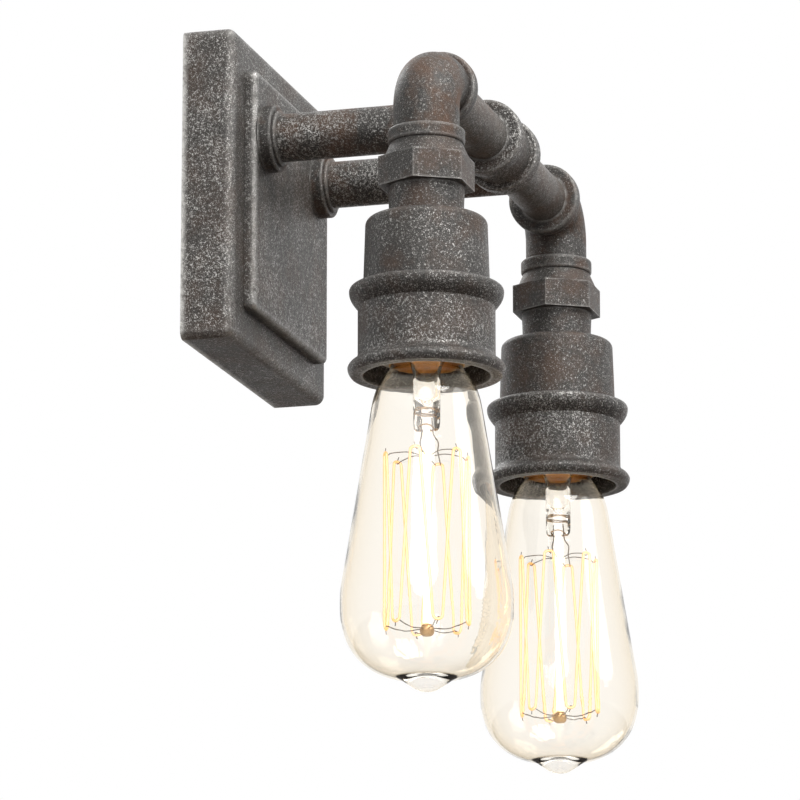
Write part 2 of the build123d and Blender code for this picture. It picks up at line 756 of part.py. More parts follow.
def envelope_outline(inset):
    """One surface of the bulb's glass, its full dome and the belly above, inset from the outer one."""
    radius = envelope_diameter / 2 - inset
    height = envelope_dome_height - inset
    power = 2 / envelope_dome_fullness
    first_share = 0 if inset else tip_blend_diameter / envelope_diameter
    first_turn = acos(first_share ** (1 / power))
    turns = [first_turn * (1 - step / dome_steps) for step in range(dome_steps + 1)]
    places = [(radius * cos(turn) ** power, widest - height * sin(turn) ** power) for turn in turns]
    slope = height / radius * first_share ** (envelope_dome_fullness - 1) / sin(first_turn) ** (2 - power)
    dome = Spline(*places, tangents=[(1, slope), (0, 1)])
    belly = JernArc(dome @ 1, (0, 1), envelope_belly_radius - inset, envelope_cone_angle)
    return dome, belly


# the sealed tip: a low rounded pip whose side turns out into the dome
tip_shape = ((0.22, 0.12), (0.4, 0.5), (0.56, 0.9))
tip_places = [(tip_diameter * across, bulb_tip + tip_height * up) for across, up in tip_shape]

for side, sign in sides:
    with BuildPart() as bulb_cap:
        with BuildSketch(lamp_section(sign)) as cap_profile:
            with BuildLine():
                Polyline(
                    (cap_opening_radius, cap_top),
                    (cap_radius, cap_shoulder),
                    (cap_radius, cap_foot),
                    (cap_radius - cap_sheet, cap_foot),
                    (cap_radius - cap_sheet, cap_shoulder - cap_sheet / 2),
                    (cap_opening_radius, cap_top - 1.5 * cap_sheet),
                    close=True,
                )
            make_face()
        revolve(axis=lamp_axis(sign))
    bulb_cap.part.label = f"bulb_cap_{side}"
    export_step(bulb_cap.part, f"parts/bulb_cap_{side}.step")

    with BuildPart() as bulb_insulator:
        with BuildSketch(lamp_section(sign)) as insulator_profile:
            with BuildLine():
                Polyline(
                    (0, contact_plane - contact_height),
                    (contact_diameter / 2, contact_plane - contact_height),
                    (cap_opening_radius, cap_top),
                    (cap_opening_radius, cap_top - 3 * cap_sheet),
                    (0, cap_top - 3 * cap_sheet),
                    close=True,
                )
            make_face()
        revolve(axis=lamp_axis(sign))
    bulb_insulator.part.label = f"bulb_insulator_{side}"
    export_step(bulb_insulator.part, f"parts/bulb_insulator_{side}.step")

    with BuildPart() as bulb_contact:
        with BuildSketch(lamp_level(sign, contact_plane)) as contact_disc:
            Circle(contact_diameter / 2)
        extrude(amount=-contact_height)
        fillet(bulb_contact.edges().group_by(Axis.Z)[-1], contact_crown_radius)
    bulb_contact.part.label = f"bulb_contact_{side}"
    export_step(bulb_contact.part, f"parts/bulb_contact_{side}.step")

    with BuildPart() as bulb_glass:
        with BuildSketch(lamp_section(sign)) as glass_profile:
            for inset, mode in ((0, Mode.ADD), (envelope_wall, Mode.SUBTRACT)):
                neck = neck_radius - inset
                haunch = haunch_radius - inset
                shoulder = shoulder_radius - inset
                with BuildLine():
                    dome, belly = envelope_outline(inset)
                    lean = belly % 1
                    cone_length = (cap_foot - cone_top_drop - (belly @ 1).Y) / lean.Y
                    cone = Line(belly @ 1, belly @ 1 + lean * cone_length)
                    throat = Spline(
                        cone @ 1,
                        (haunch, cap_foot - haunch_drop),
                        (shoulder, cap_foot - shoulder_drop),
                        (neck, cap_foot),
                        tangents=[lean, (0, 1)],
                    )
                    Line(throat @ 1, (neck, cap_foot + envelope_neck_depth))
                    Line((neck, cap_foot + envelope_neck_depth), (0, cap_foot + envelope_neck_depth))
                    if inset:
                        Line((0, cap_foot + envelope_neck_depth), dome @ 0)
                    else:
                        Line((0, cap_foot + envelope_neck_depth), (0, bulb_tip))
                        Spline(
                            (0, bulb_tip),
                            *tip_places,
                            dome @ 0,
                            tangents=[(1, 0), dome % 0],
                        )
                make_face(mode=mode)
        revolve(axis=lamp_axis(sign))
    bulb_glass.part.label = f"bulb_glass_{side}"
    export_step(bulb_glass.part, f"parts/bulb_glass_{side}.step")

# ---------------------------------------------------------------- inside the bulbs

stem_head = cap_foot + envelope_neck_depth - stem_head_drop
stem_foot = bulb_tip + stem_foot_rise
hooks_top = bulb_tip + top_hooks_rise
hooks_foot = bulb_tip + button_rise
cage_radius = cage_diameter / 2
hook_step = 2 * pi / cage_hooks


def on_cage(sign, turn, height):
    """A point on the filament's cage, turned about the lamp's axis from its outer side."""
    return lamp_level(sign, height).from_local_coords((cage_radius * cos(turn), cage_radius * sin(turn)))


for side, sign in sides:
    with BuildPart() as bulb_stem:
        with BuildSketch(lamp_section(sign)) as stem_profile:
            with BuildLine():
                Polyline(
                    (0, stem_foot + stem_press_length),
                    (stem_diameter / 2 - stem_wall, stem_foot + 2 * stem_press_length),
                    (stem_diameter / 2 - stem_wall, stem_head),
                    (neck_radius - envelope_wall, stem_head + stem_head_drop - envelope_wall),
                    (neck_radius - envelope_wall, stem_head - envelope_wall),
                    (stem_diameter / 2, stem_head - stem_press_length),
                    (stem_diameter / 2, stem_foot),
                    (rod_diameter / 2, stem_foot),
                    (rod_diameter / 2, hooks_foot + support_width),
                    (0, hooks_foot + support_width),
                    close=True,
                )
            make_face()
        revolve(axis=lamp_axis(sign))
    bulb_stem.part.label = f"bulb_stem_{side}"
    export_step(bulb_stem.part, f"parts/bulb_stem_{side}.step")

    # hooks that hold the filament: a ring of wires round the rod above, another from the button below
    with BuildPart() as bulb_supports:
        for height, first in ((hooks_top, 1), (hooks_foot, 0.5)):
            with BuildSketch(lamp_level(sign, height - support_width)) as hub:
                Circle(rod_diameter / 2 + support_width)
                if height == hooks_top:
                    Circle(rod_diameter / 2, mode=Mode.SUBTRACT)
            extrude(amount=2 * support_width)
            hooks = cage_hooks - 1 if height == hooks_top else cage_hooks
            for hook in range(hooks):
                turn = (hook + first) * hook_step
                way = Vector(cos(turn), sin(turn), 0)
                start = lamp_level(sign, height).from_local_coords(way * (rod_diameter + support_width) / 2)
                with BuildSketch(Plane(origin=start, z_dir=way)) as hook_wire:
                    Rectangle(support_width, support_width)
                extrude(amount=cage_radius - filament_width / 2 - (rod_diameter + support_width) / 2)
        with BuildSketch(lamp_level(sign, hooks_foot - support_width)) as button:
            Circle(button_diameter / 2)
        extrude(amount=-button_height)
    bulb_supports.part.label = f"bulb_supports_{side}"
    export_step(bulb_supports.part, f"parts/bulb_supports_{side}.step")

    with BuildPart() as bulb_filament:
        loop_turn = hook_loop_width / cage_diameter
        filament_places = [on_cage(sign, loop_turn, hooks_top)]
        for hook in range(cage_hooks):
            foot_turn = (hook + 0.5) * hook_step
            top_turn = (hook + 1) * hook_step
            filament_places += [
                on_cage(sign, foot_turn - loop_turn, hooks_foot - support_width),
                on_cage(sign, foot_turn + loop_turn, hooks_foot - support_width),
                on_cage(sign, top_turn - loop_turn, hooks_top + support_width),
                on_cage(sign, top_turn + loop_turn, hooks_top + support_width),
            ]
        filament_places = filament_places[:-1]
        with BuildLine() as filament_line:
            Polyline(*filament_places)
        first_run = filament_places[1] - filament_places[0]
        with BuildSketch(Plane(origin=filament_places[0], z_dir=first_run)) as filament_section:
            Rectangle(filament_width, filament_width)
        sweep(path=filament_line.wires()[0], transition=Transition.RIGHT)
    bulb_filament.part.label = f"bulb_filament_{side}"
    export_step(bulb_filament.part, f"parts/bulb_filament_{side}.step")
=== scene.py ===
"""Looks of the two-lamp pipe wall light, laid out as an add-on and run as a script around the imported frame."""

import math

import bmesh
import bpy
from bpy.props import FloatProperty, FloatVectorProperty, IntProperty, PointerProperty
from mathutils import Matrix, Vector


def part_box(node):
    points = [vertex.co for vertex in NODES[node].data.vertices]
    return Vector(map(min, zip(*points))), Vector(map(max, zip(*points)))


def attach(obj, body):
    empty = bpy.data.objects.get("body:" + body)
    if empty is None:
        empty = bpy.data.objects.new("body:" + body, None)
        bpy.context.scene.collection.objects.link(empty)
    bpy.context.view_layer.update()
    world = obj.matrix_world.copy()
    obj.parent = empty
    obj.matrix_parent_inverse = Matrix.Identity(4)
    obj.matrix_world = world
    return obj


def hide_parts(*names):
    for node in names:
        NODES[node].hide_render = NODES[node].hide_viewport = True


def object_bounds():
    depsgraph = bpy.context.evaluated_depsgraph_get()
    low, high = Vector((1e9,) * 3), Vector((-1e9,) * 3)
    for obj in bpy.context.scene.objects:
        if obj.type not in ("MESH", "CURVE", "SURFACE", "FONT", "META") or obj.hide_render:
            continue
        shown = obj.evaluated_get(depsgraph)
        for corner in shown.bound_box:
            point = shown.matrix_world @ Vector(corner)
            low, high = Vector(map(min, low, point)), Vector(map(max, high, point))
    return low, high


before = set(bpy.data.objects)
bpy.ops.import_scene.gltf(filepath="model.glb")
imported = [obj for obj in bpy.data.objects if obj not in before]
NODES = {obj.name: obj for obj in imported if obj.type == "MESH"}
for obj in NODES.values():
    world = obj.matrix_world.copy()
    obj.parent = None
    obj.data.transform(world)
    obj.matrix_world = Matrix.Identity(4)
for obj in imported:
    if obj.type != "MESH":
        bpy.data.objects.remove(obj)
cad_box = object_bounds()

bl_info = {
    "name": "Pipe wall light",
    "version": (1, 0, 0),
    "blender": (4, 5, 0),
    "location": "3D View > Sidebar > Pipe light",
    "description": "Finishes, screws, threads and lit bulbs of a two-lamp pipe wall light",
    "category": "Object",
}

SIDES = ("left", "right")
FULL_TURN = 2 * math.pi
SHARP_ANGLE = math.radians(32)  # a turn between faces past which an edge stays hard
PATH_PARTS = 6  # runs between two points of a smooth line
SHEET_SEGMENTS = 96  # faces round a threaded sheet
WIRE_SIDES = 8

# sizes inside a bulb, in metres
CAGE_RADIUS = 0.01452  # from the axis to the hooks
ROD_RADIUS = 0.0013
STEM_RADIUS, STEM_WALL = 0.0047, 0.0010
STEM_FOOT_RISE = 0.0898  # above the tip of the glass
BUTTON_RADIUS = 0.0026
# the bends of a hook: share of the cage's radius, way aside, rise above the ring's level
TOP_HOOK = (
    (0.45, 0, 0.0013), (0.84, 0, 0.0006), (0.94, 0.0005, -0.0003), (1, 0.0002, 0.0002), (0.98, -0.0004, 0.0022),
)
FOOT_HOOK = (
    (0.5, 0, -0.0012), (0.84, 0, -0.0001), (0.95, 0.0005, 0.0005), (1, 0.0002, -0.0001), (0.99, -0.0004, -0.0019),
)


# ---- sizes and colours that a user would change


def colour_property(name, description, default):
    """A colour of the object, as linear red, green and blue."""
    return FloatVectorProperty(
        name=name, description=description, subtype="COLOR", size=3, min=0, max=1, default=default
    )


def size_property(name, description, default):
    """A length of the object."""
    return FloatProperty(
        name=name, description=description, default=default, min=0, unit="LENGTH", subtype="DISTANCE", precision=5
    )


def angle_property(name, description, degrees):
    """An angle of the camera."""
    return FloatProperty(name=name, description=description, subtype="ANGLE", default=math.radians(degrees))


class PIPELIGHT_PG_finish(bpy.types.PropertyGroup):
    """Colours and grain of the weathered iron and the other metals."""

    iron_ground: colour_property("Iron ground", "Dark coat between the flecks", (0.035, 0.032, 0.029))
    iron_fleck: colour_property("Iron fleck", "Silver flecks where the coat has rubbed through", (0.52, 0.51, 0.49))
    iron_rust: colour_property("Iron rust", "Brown bloom over the coat", (0.112, 0.056, 0.030))
    grain_size: size_property("Grain size", "Width of one grain of the cast surface", 0.00041)
    zinc: colour_property("Zinc", "Plated steel of the strap and nuts", (0.52, 0.52, 0.50))
    brass: colour_property("Brass", "Caps and contacts", (0.72, 0.48, 0.20))
    porcelain: colour_property("Porcelain", "Glaze of the lampholders", (0.80, 0.77, 0.72))
    ground_green: colour_property("Ground green", "Paint of the ground screw", (0.045, 0.26, 0.075))


class PIPELIGHT_PG_bulbs(bpy.types.PropertyGroup):
    """Sizes of what is inside and on the bulbs."""

    thread_pitch: size_property("Thread pitch", "Rise of the cap's thread in one turn", 0.003629)
    thread_depth: size_property("Thread depth", "From the thread's crest to its root", 0.0010)
    hooks: IntProperty(name="Hooks", description="Hooks in one ring of the filament's cage", default=6, min=3)
    wire_thickness: size_property("Wire thickness", "Diameter of the support wires", 0.00034)
    filament_thickness: size_property("Filament thickness", "Diameter of the glowing strand", 0.00098)
    glow: FloatProperty(name="Glow", description="Brightness of the filament", default=1.0, min=0)
    glow_colour: colour_property("Glow colour", "Colour of the lit filament", (0.88, 0.42, 0.12))
    # painted reflection: the warm colour along the glass's wall stands in for the filament's glow reflected in it
    glass_edge_glow: colour_property("Glass edge", "Warm tint where the glass is seen along its wall", (0.80, 0.62, 0.34))


class PIPELIGHT_PG_stage(bpy.types.PropertyGroup):
    """Camera, lamps and floor."""

    camera_place: FloatVectorProperty(
        name="Camera place", description="Where the camera stands", size=3, subtype="TRANSLATION",
        unit="LENGTH", default=(-1.6440, -0.5378, -0.4783),
    )
    camera_yaw: angle_property("Camera yaw", "From +X towards +Y", 16.05)
    camera_pitch: angle_property("Camera pitch", "Above the level", 13.4)
    camera_lens: FloatProperty(
        name="Lens", description="Focal length on a 36 mm sensor, in millimetres", default=218.9, min=1
    )
    floor_drop: size_property("Floor drop", "How far the floor lies below the wall plate's middle", 0.68)
    ambient: FloatProperty(
        name="Ambient", description="Strength of the even light from all round", default=0.08, min=0
    )


# ---- wiring of node trees


class Wiring:
    """Adds nodes to one tree and links them."""

    def __init__(self, tree):
        self.tree = tree

    def feed(self, socket, value):
        """Links a socket, or sets it to a constant."""
        if isinstance(value, bpy.types.NodeSocket):
            self.tree.links.new(value, socket)
        elif socket.type == "RGBA":
            socket.default_value = (*value, 1)
        else:
            socket.default_value = value

    def fit(self, node, inputs):
        """Feeds a node. inputs maps a socket's name or place to a constant or to another node's output."""
        for key, value in dict(inputs).items():
            self.feed(node.inputs[key], value)
        return node

    def add(self, kind, inputs=(), **settings):
        """A new node, fed as in fit."""
        node = self.tree.nodes.new(kind)
        for key, value in settings.items():
            setattr(node, key, value)
        return self.fit(node, inputs)

    def made(self, kind, inputs=(), **settings):
        """The first output of a new node, fed as in fit."""
        return self.add(kind, inputs, **settings).outputs[0]

    def math(self, operation, *values, clamp=False):
        """One sum."""
        return self.made("ShaderNodeMath", enumerate(values), operation=operation, use_clamp=clamp)

    def times(self, first, second):
        """Two numbers multiplied."""
        return self.math("MULTIPLY", first, second)

    def plus(self, first, second):
        """Two numbers added."""
        return self.math("ADD", first, second)

    def vector(self, operation, first, second=None):
        """One sum of vectors. What a vector is scaled by is a number."""
        inputs = {0: first}
        if second is not None:
            inputs["Scale" if operation == "SCALE" else 1] = second
        return self.made("ShaderNodeVectorMath", inputs, operation=operation)

    def span(self, value, low, high, to_low=0.0, to_high=1.0):
        """A value taken from one range to another and held inside it."""
        places = {"Value": value, "From Min": low, "From Max": high, "To Min": to_low, "To Max": to_high}
        return self.made("ShaderNodeMapRange", places, clamp=True)

    def blend(self, factor, first, second, kind="MIX"):
        """Two colours mixed."""
        places = {0: factor, 6: first, 7: second}
        return self.add("ShaderNodeMix", places, data_type="RGBA", blend_type=kind).outputs[2]

    def noise(self, where, scale, detail=3.0, roughness=0.55):
        """A grey noise of features 1/scale metres across."""
        places = {"Vector": where, "Scale": scale, "Detail": detail, "Roughness": roughness}
        return self.made("ShaderNodeTexNoise", places)

    def object_place(self):
        """Where the surface is, in the piece's own metres."""
        return self.add("ShaderNodeTexCoord").outputs["Object"]


def once(name):
    """Builds a node group at the first call, and hands back the group of that name after it."""

    def wrap(build):
        return lambda: bpy.data.node_groups.get(name) or build(name)

    return wrap


def open_group(name, kind, takes, gives):
    """A new node group: its tree, its wiring, and its inner inputs and outputs.

    takes has each input's default number, or its kind where it has none, and gives each output's kind."""
    tree = bpy.data.node_groups.new(name, kind)
    for label, default in takes.items():
        form = {float: "Float", int: "Int"}.get(type(default), default)
        socket = tree.interface.new_socket(label, in_out="INPUT", socket_type=f"NodeSocket{form}")
        if form != default:
            socket.default_value = default
    for label, form in gives.items():
        tree.interface.new_socket(label, in_out="OUTPUT", socket_type=f"NodeSocket{form}")
    wiring = Wiring(tree)
    return tree, wiring, wiring.add("NodeGroupInput").outputs, wiring.add("NodeGroupOutput").inputs


@once("edge_wear_and_corner_shade")
def wear_and_corner_shade_group(name):
    """Where an outer edge or rim has rubbed bright, and how closed in a corner is, for the painted shade that darkens
    corners.
    """
    tree, w, given, out = open_group(
        name, "ShaderNodeTree", {"Edge Reach": 0.0015, "Corner Reach": 0.004}, {"Edge": "Float", "Corner": "Float"}
    )

    def cover(label, inside):
        """How open the surface is within a reach, looking outwards or inwards."""
        reach = {"Distance": given[label]}
        return w.add("ShaderNodeAmbientOcclusion", reach, samples=8, inside=inside).outputs["AO"]

    patchy = w.span(w.noise(w.object_place(), 420.0, 2.0), 0.26, 0.60, 0.25, 1.0)
    w.feed(out["Edge"], w.times(w.span(cover("Edge Reach", True), 0.97, 0.62), patchy))
    # Corner: the occlusion looking outwards, a mask for painted shade in corners
    w.feed(out["Corner"], w.span(cover("Corner Reach", False), 0.74, 0.30))
    return tree


@once("weathered_iron_coat")
def weathered_iron_group(name):
    """Dark coat on cast iron: silver flecks, brown bloom, worn edges and painted shade in the corners."""
    tree, w, given, out = open_group(
        name, "ShaderNodeTree",
        {
            "Ground": "Color", "Fleck": "Color", "Rust": "Color", "Grain Size": 0.0005, "Fleck Share": 0.5,
            "Rust Share": 0.4, "Edge Share": 0.7, "Edge Reach": 0.0011,
        },
        {"Colour": "Color", "Roughness": "Float", "Metallic": "Float", "Height": "Float"},
    )
    place = w.object_place()
    fine_scale = w.math("DIVIDE", 1.0, given["Grain Size"])
    fine = w.noise(place, fine_scale, 2.0, 0.6)
    coarse = w.noise(place, w.times(fine_scale, 0.42), 2.0, 0.6)
    cloud = w.noise(place, 38.0, 4.0, 0.6)
    patch = w.noise(place, 130.0, 3.0, 0.6)
    grains = w.plus(w.times(fine, 0.62), w.times(coarse, 0.38))

    # flecks: the tops of the grains, more of them where the coat is thin
    thin_coat = w.span(w.plus(cloud, w.times(patch, 0.5)), 0.55, 0.95)
    reach = w.times(given["Fleck Share"], w.plus(0.40, thin_coat))
    start = w.math("SUBTRACT", 0.600, w.times(reach, 0.115))
    flecks = w.span(grains, start, w.plus(start, 0.12))

    # the coat itself goes from near black in the pits to a worn grey on the grains
    shade = w.plus(w.times(w.span(grains, 0.37, 0.63), 0.8), w.times(w.span(cloud, 0.35, 0.65), 0.2))
    ground = w.vector("SCALE", given["Ground"], w.span(shade, 0.0, 1.0, 0.22, 3.1))
    bloom = w.times(w.span(w.noise(place, 62.0, 4.0, 0.65), 0.44, 0.66), given["Rust Share"])
    bloom = w.times(bloom, w.span(fine, 0.30, 0.62, 0.55, 1.0))
    colour = w.blend(bloom, ground, given["Rust"])
    bare = w.times(flecks, w.math("SUBTRACT", 1.0, w.times(bloom, 0.55)))
    colour = w.blend(bare, colour, given["Fleck"])

    wear = w.add("ShaderNodeGroup", node_tree=wear_and_corner_shade_group())
    w.feed(wear.inputs["Edge Reach"], given["Edge Reach"])
    rubbed = w.times(wear.outputs["Edge"], given["Edge Share"])
    colour = w.blend(rubbed, colour, given["Fleck"])
    # painted shade: shut-in corners are darkened towards near black
    corner_shade = w.times(wear.outputs["Corner"], 0.62)
    colour = w.blend(corner_shade, colour, (0.017, 0.013, 0.010))

    w.feed(out["Colour"], colour)
    bright = w.math("MAXIMUM", flecks, rubbed)
    rough = w.span(bright, 0.0, 1.0, 0.44, 0.30)
    w.feed(out["Roughness"], w.math("ADD", rough, w.times(bloom, 0.22), clamp=True))
    w.feed(out["Metallic"], w.span(bright, 0.0, 1.0, 0.20, 0.78))
    w.feed(out["Height"], grains)
    return tree


@once("handled_metal")
def handled_metal_group(name):
    """Sheet metal that has been rolled, plated and handled: brushed streaks, cloudy tarnish and a fine bump."""
    tree, w, given, out = open_group(
        name, "ShaderNodeTree",
        {"Metal": "Color", "Tarnish": "Color", "Tarnish Share": 0.4, "Cell Size": 0.004},
        {"Colour": "Color", "Roughness": "Float", "Height": "Float"},
    )
    place = w.object_place()
    stretched = w.made("ShaderNodeMapping", {"Vector": place, "Scale": (1.0, 1.0, 14.0)})
    streaks = w.noise(stretched, 380.0, 4.0, 0.6)
    cloud = w.noise(place, 90.0, 4.0, 0.6)
    cell_scale = w.math("DIVIDE", 1.0, given["Cell Size"])
    spangle = w.add("ShaderNodeTexVoronoi", {"Vector": place, "Scale": cell_scale}).outputs["Color"]
    facet = w.made("ShaderNodeSeparateColor", {0: spangle})
    wear = w.add("ShaderNodeGroup", node_tree=wear_and_corner_shade_group())
    tone = w.plus(w.times(streaks, 0.35), w.times(facet, 0.22))
    lit = w.vector("SCALE", given["Metal"], w.span(tone, 0.1, 0.5, 0.78, 1.1))
    share = w.times(w.span(cloud, 0.42, 0.66), given["Tarnish Share"])
    # shut-in corners are darkened towards the tarnish colour, from the same occlusion mask
    share = w.math("MAXIMUM", share, w.times(wear.outputs["Corner"], 0.6))
    w.feed(out["Colour"], w.blend(share, lit, given["Tarnish"]))
    w.feed(out["Roughness"], w.span(w.plus(tone, share), 0.1, 1.2, 0.24, 0.62))
    w.feed(out["Height"], w.plus(w.times(streaks, 0.6), w.times(cloud, 0.4)))
    return tree


# ---- materials


def new_material(name):
    """A material, the wiring of its tree and its Principled shader."""
    mat = bpy.data.materials.new(name)
    mat.use_nodes = True
    return mat, Wiring(mat.node_tree), mat.node_tree.nodes["Principled BSDF"]


def bump(w, shader, height, depth):
    """Feeds a height that is depth metres deep to a shader's normal."""
    relief = w.add("ShaderNodeBump", {"Height": height, "Strength": 1.0, "Distance": depth})
    w.feed(shader.inputs["Normal"], relief.outputs[0])


def iron(name, finish, grain=1.0, flecks=0.5, rust=0.4, edges=0.7, reach=0.0011, tone=1.0, depth=0.00036):
    """Weathered iron, with this piece's own share of flecks, rust and worn edges."""
    mat, w, shader = new_material(name)
    places = {
        "Ground": [tone * c for c in finish.iron_ground], "Fleck": finish.iron_fleck, "Rust": finish.iron_rust,
        "Grain Size": grain * finish.grain_size, "Fleck Share": flecks, "Rust Share": rust,
        "Edge Share": edges, "Edge Reach": reach,
    }
    coat = w.add("ShaderNodeGroup", places, node_tree=weathered_iron_group()).outputs
    w.fit(shader, {"Base Color": coat["Colour"], "Roughness": coat["Roughness"], "Metallic": coat["Metallic"]})
    bump(w, shader, coat["Height"], depth)
    return mat


def sheet_metal(name, colour, tarnish, share, cell, depth=0.00003):
    """Plated or rolled sheet metal."""
    mat, w, shader = new_material(name)
    places = {"Metal": colour, "Tarnish": tarnish, "Tarnish Share": share, "Cell Size": cell}
    coat = w.add("ShaderNodeGroup", places, node_tree=handled_metal_group()).outputs
    w.fit(shader, {"Base Color": coat["Colour"], "Roughness": coat["Roughness"], "Metallic": 1.0})
    bump(w, shader, coat["Height"], depth)
    return mat


def plain_coat(name, colour, second, scale, rough, depth, coat_weight=0.0, spots=0.5, glow=0.0):
    """Paint, glaze, plastic or cement: two tones in clouds with fine specks. glow is for what the filament lights."""
    mat, w, shader = new_material(name)
    place = w.object_place()
    cloud = w.noise(place, scale, 4.0, 0.6)
    fine = w.noise(place, scale * 14, 2.0, 0.6)
    share = w.span(cloud, 0.40, 0.68)
    share = w.math("MAXIMUM", share, w.times(w.span(fine, 0.62, 0.72), spots))
    tones = w.blend(share, colour, second)
    roughness = w.span(fine, 0.3, 0.7, rough * 0.8, rough * 1.25)
    w.fit(shader, {"Base Color": tones, "Roughness": roughness, "Coat Weight": coat_weight})
    if glow:
        w.fit(shader, {"Emission Color": tones, "Emission Strength": glow})
    bump(w, shader, w.plus(w.times(cloud, 0.7), w.times(fine, 0.3)), depth)
    return mat


def lets_lamps_through(w, shader):
    """Mixes in a clear shader for shadow rays, so that a lamp lights what is behind the glass."""
    clear = w.made("ShaderNodeBsdfTransparent", {"Color": (0.93, 0.92, 0.90)})
    shadow_ray = w.add("ShaderNodeLightPath").outputs["Is Shadow Ray"]
    both = w.made("ShaderNodeMixShader", {0: shadow_ray, 1: shader.outputs[0], 2: clear})
    w.feed(w.tree.nodes["Material Output"].inputs["Surface"], both)


def clear_glass(name, face_tint, edge_glow_tint, wave, depth, ior=1.45):
    """Blown glass: clear head on, with a slow ripple; its warm edge colour along the wall is a painted reflection of
    the filament's glow.
    """
    mat, w, shader = new_material(name)
    steep = w.math("POWER", w.add("ShaderNodeLayerWeight", {"Blend": 0.5}).outputs["Facing"], 2.4)
    # painted reflection of the filament's glow where the wall is seen edge on
    tint = w.blend(steep, face_tint, edge_glow_tint)
    w.fit(shader, {"Base Color": tint, "Transmission Weight": 1.0, "Roughness": 0.0, "IOR": ior})
    bump(w, shader, w.noise(w.object_place(), wave, 2.0), depth)
    lets_lamps_through(w, shader)
    return mat


def glowing_filament(bulbs):
    """Hot carbonised strand: near white along its middle and orange where it turns away."""
    mat, w, shader = new_material("lit_filament")
    coil = w.noise(w.object_place(), 900.0, 2.0)
    edge = w.add("ShaderNodeLayerWeight", {"Blend": 0.5}).outputs["Facing"]
    hot = w.blend(w.span(coil, 0.35, 0.65), (1.0, 0.85, 0.62), (1.0, 0.72, 0.42))
    warmth = w.blend(w.span(edge, 0.05, 0.34), hot, bulbs.glow_colour)
    burnt = w.blend(coil, (0.30, 0.16, 0.06), (0.55, 0.34, 0.14))
    w.fit(shader, {
        "Base Color": burnt, "Roughness": 0.7, "Emission Color": warmth, "Emission Strength": bulbs.glow,
    })
    bump(w, shader, coil, 0.00004)
    return mat


def glass_rod(bulbs):
    """The rod between the hook rings, full of the filament's light."""
    mat, w, shader = new_material("glowing_rod_glass")
    seed = w.noise(w.object_place(), 300.0, 2.0)
    w.fit(shader, {
        "Base Color": w.blend(seed, (1.0, 0.95, 0.80), (0.98, 0.90, 0.62)),
        "Emission Color": w.blend(w.span(seed, 0.3, 0.7), (1.0, 0.88, 0.46), (1.0, 0.96, 0.74)),
        "Emission Strength": 0.62 * bulbs.glow, "Transmission Weight": 0.55, "Roughness": 0.08,
    })
    bump(w, shader, seed, 0.00005)
    lets_lamps_through(w, shader)
    return mat


def dress(names, material):
    """Gives a CAD node's object its finish. Its mesh and place stay as they are."""
    for name in names:
        node = NODES[name]
        node.data.materials.clear()
        node.data.materials.append(material)


def both_sides(*stems):
    """The names of the left and right nodes."""
    return [f"{stem}_{side}" for stem in stems for side in SIDES]


# ---- meshes


def placed(name, data):
    """A new object of a mesh, lamp or camera, at the origin."""
    piece = bpy.data.objects.new(name, data)
    bpy.context.scene.collection.objects.link(piece)
    return piece


def mesh_piece(name, points, faces, material=None, smooth=True):
    """A new object at the origin with its place in its mesh, merged, and with its faces outwards."""
    mesh = bpy.data.meshes.new(name)
    mesh.from_pydata([tuple(p) for p in points], [], faces)
    build = bmesh.new()
    build.from_mesh(mesh)
    bmesh.ops.remove_doubles(build, verts=build.verts, dist=1e-7)
    bmesh.ops.recalc_face_normals(build, faces=build.faces)
    for face in build.faces:
        face.smooth = smooth
    build.to_mesh(mesh)
    build.free()
    if material:
        mesh.materials.append(material)
    return placed(name, mesh)


def band_faces(lower, upper, sides):
    """The faces between two rings of points, given where each ring starts."""
    return [[lower + i, lower + (i + 1) % sides, upper + (i + 1) % sides, upper + i] for i in range(sides)]


def turned(name, profile, centre, segments, material=None, closed=False):
    """A lathe-turned piece: profile is (radius, height) pairs round an upright axis through centre."""
    points, faces = [], []
    for radius, height in profile:
        for step in range(segments):
            angle = FULL_TURN * step / segments
            points.append((centre.x + radius * math.cos(angle), centre.y + radius * math.sin(angle), height))
    rows = len(profile)
    for row in range(rows if closed else rows - 1):
        upper = (row + 1) % rows
        for corners in band_faces(row * segments, upper * segments, segments):
            if profile[row][0] == 0:
                corners = [corners[0], corners[2], corners[3]]
            elif profile[upper][0] == 0:
                corners = corners[:3]
            faces.append(corners)
    return mesh_piece(name, points, faces, material)


def sharpen(piece):
    """Keeps a piece's hard edges hard under smooth shading."""
    piece.data.set_sharp_from_angle(angle=SHARP_ANGLE)


def path_piece(name, runs):
    """An object of open lines, one for each list of points, for a wire tree to follow."""
    mesh = bpy.data.meshes.new(name)
    points, edges = [], []
    for run in runs:
        first = len(points)
        points += [tuple(p) for p in run]
        edges += [(first + i, first + i + 1) for i in range(len(run) - 1)]
    mesh.from_pydata(points, edges, [])
    return placed(name, mesh)


# ---- geometry trees


def geometry_tree(name, takes):
    """A geometry tree that takes a mesh and named sizes: its wiring, its inputs and a function that closes it."""
    sizes = {"Mesh": "Geometry", **takes, "Finish": "Material"}
    tree, w, given, out = open_group(name, "GeometryNodeTree", sizes, {"Mesh": "Geometry"})
    tree.is_modifier = True

    def close(geometry):
        real = w.made("GeometryNodeRealizeInstances", {0: geometry})
        done = w.made("GeometryNodeSetMaterial", {"Geometry": real, "Material": given["Finish"]})
        w.feed(out["Mesh"], done)
        return tree

    return w, given, close


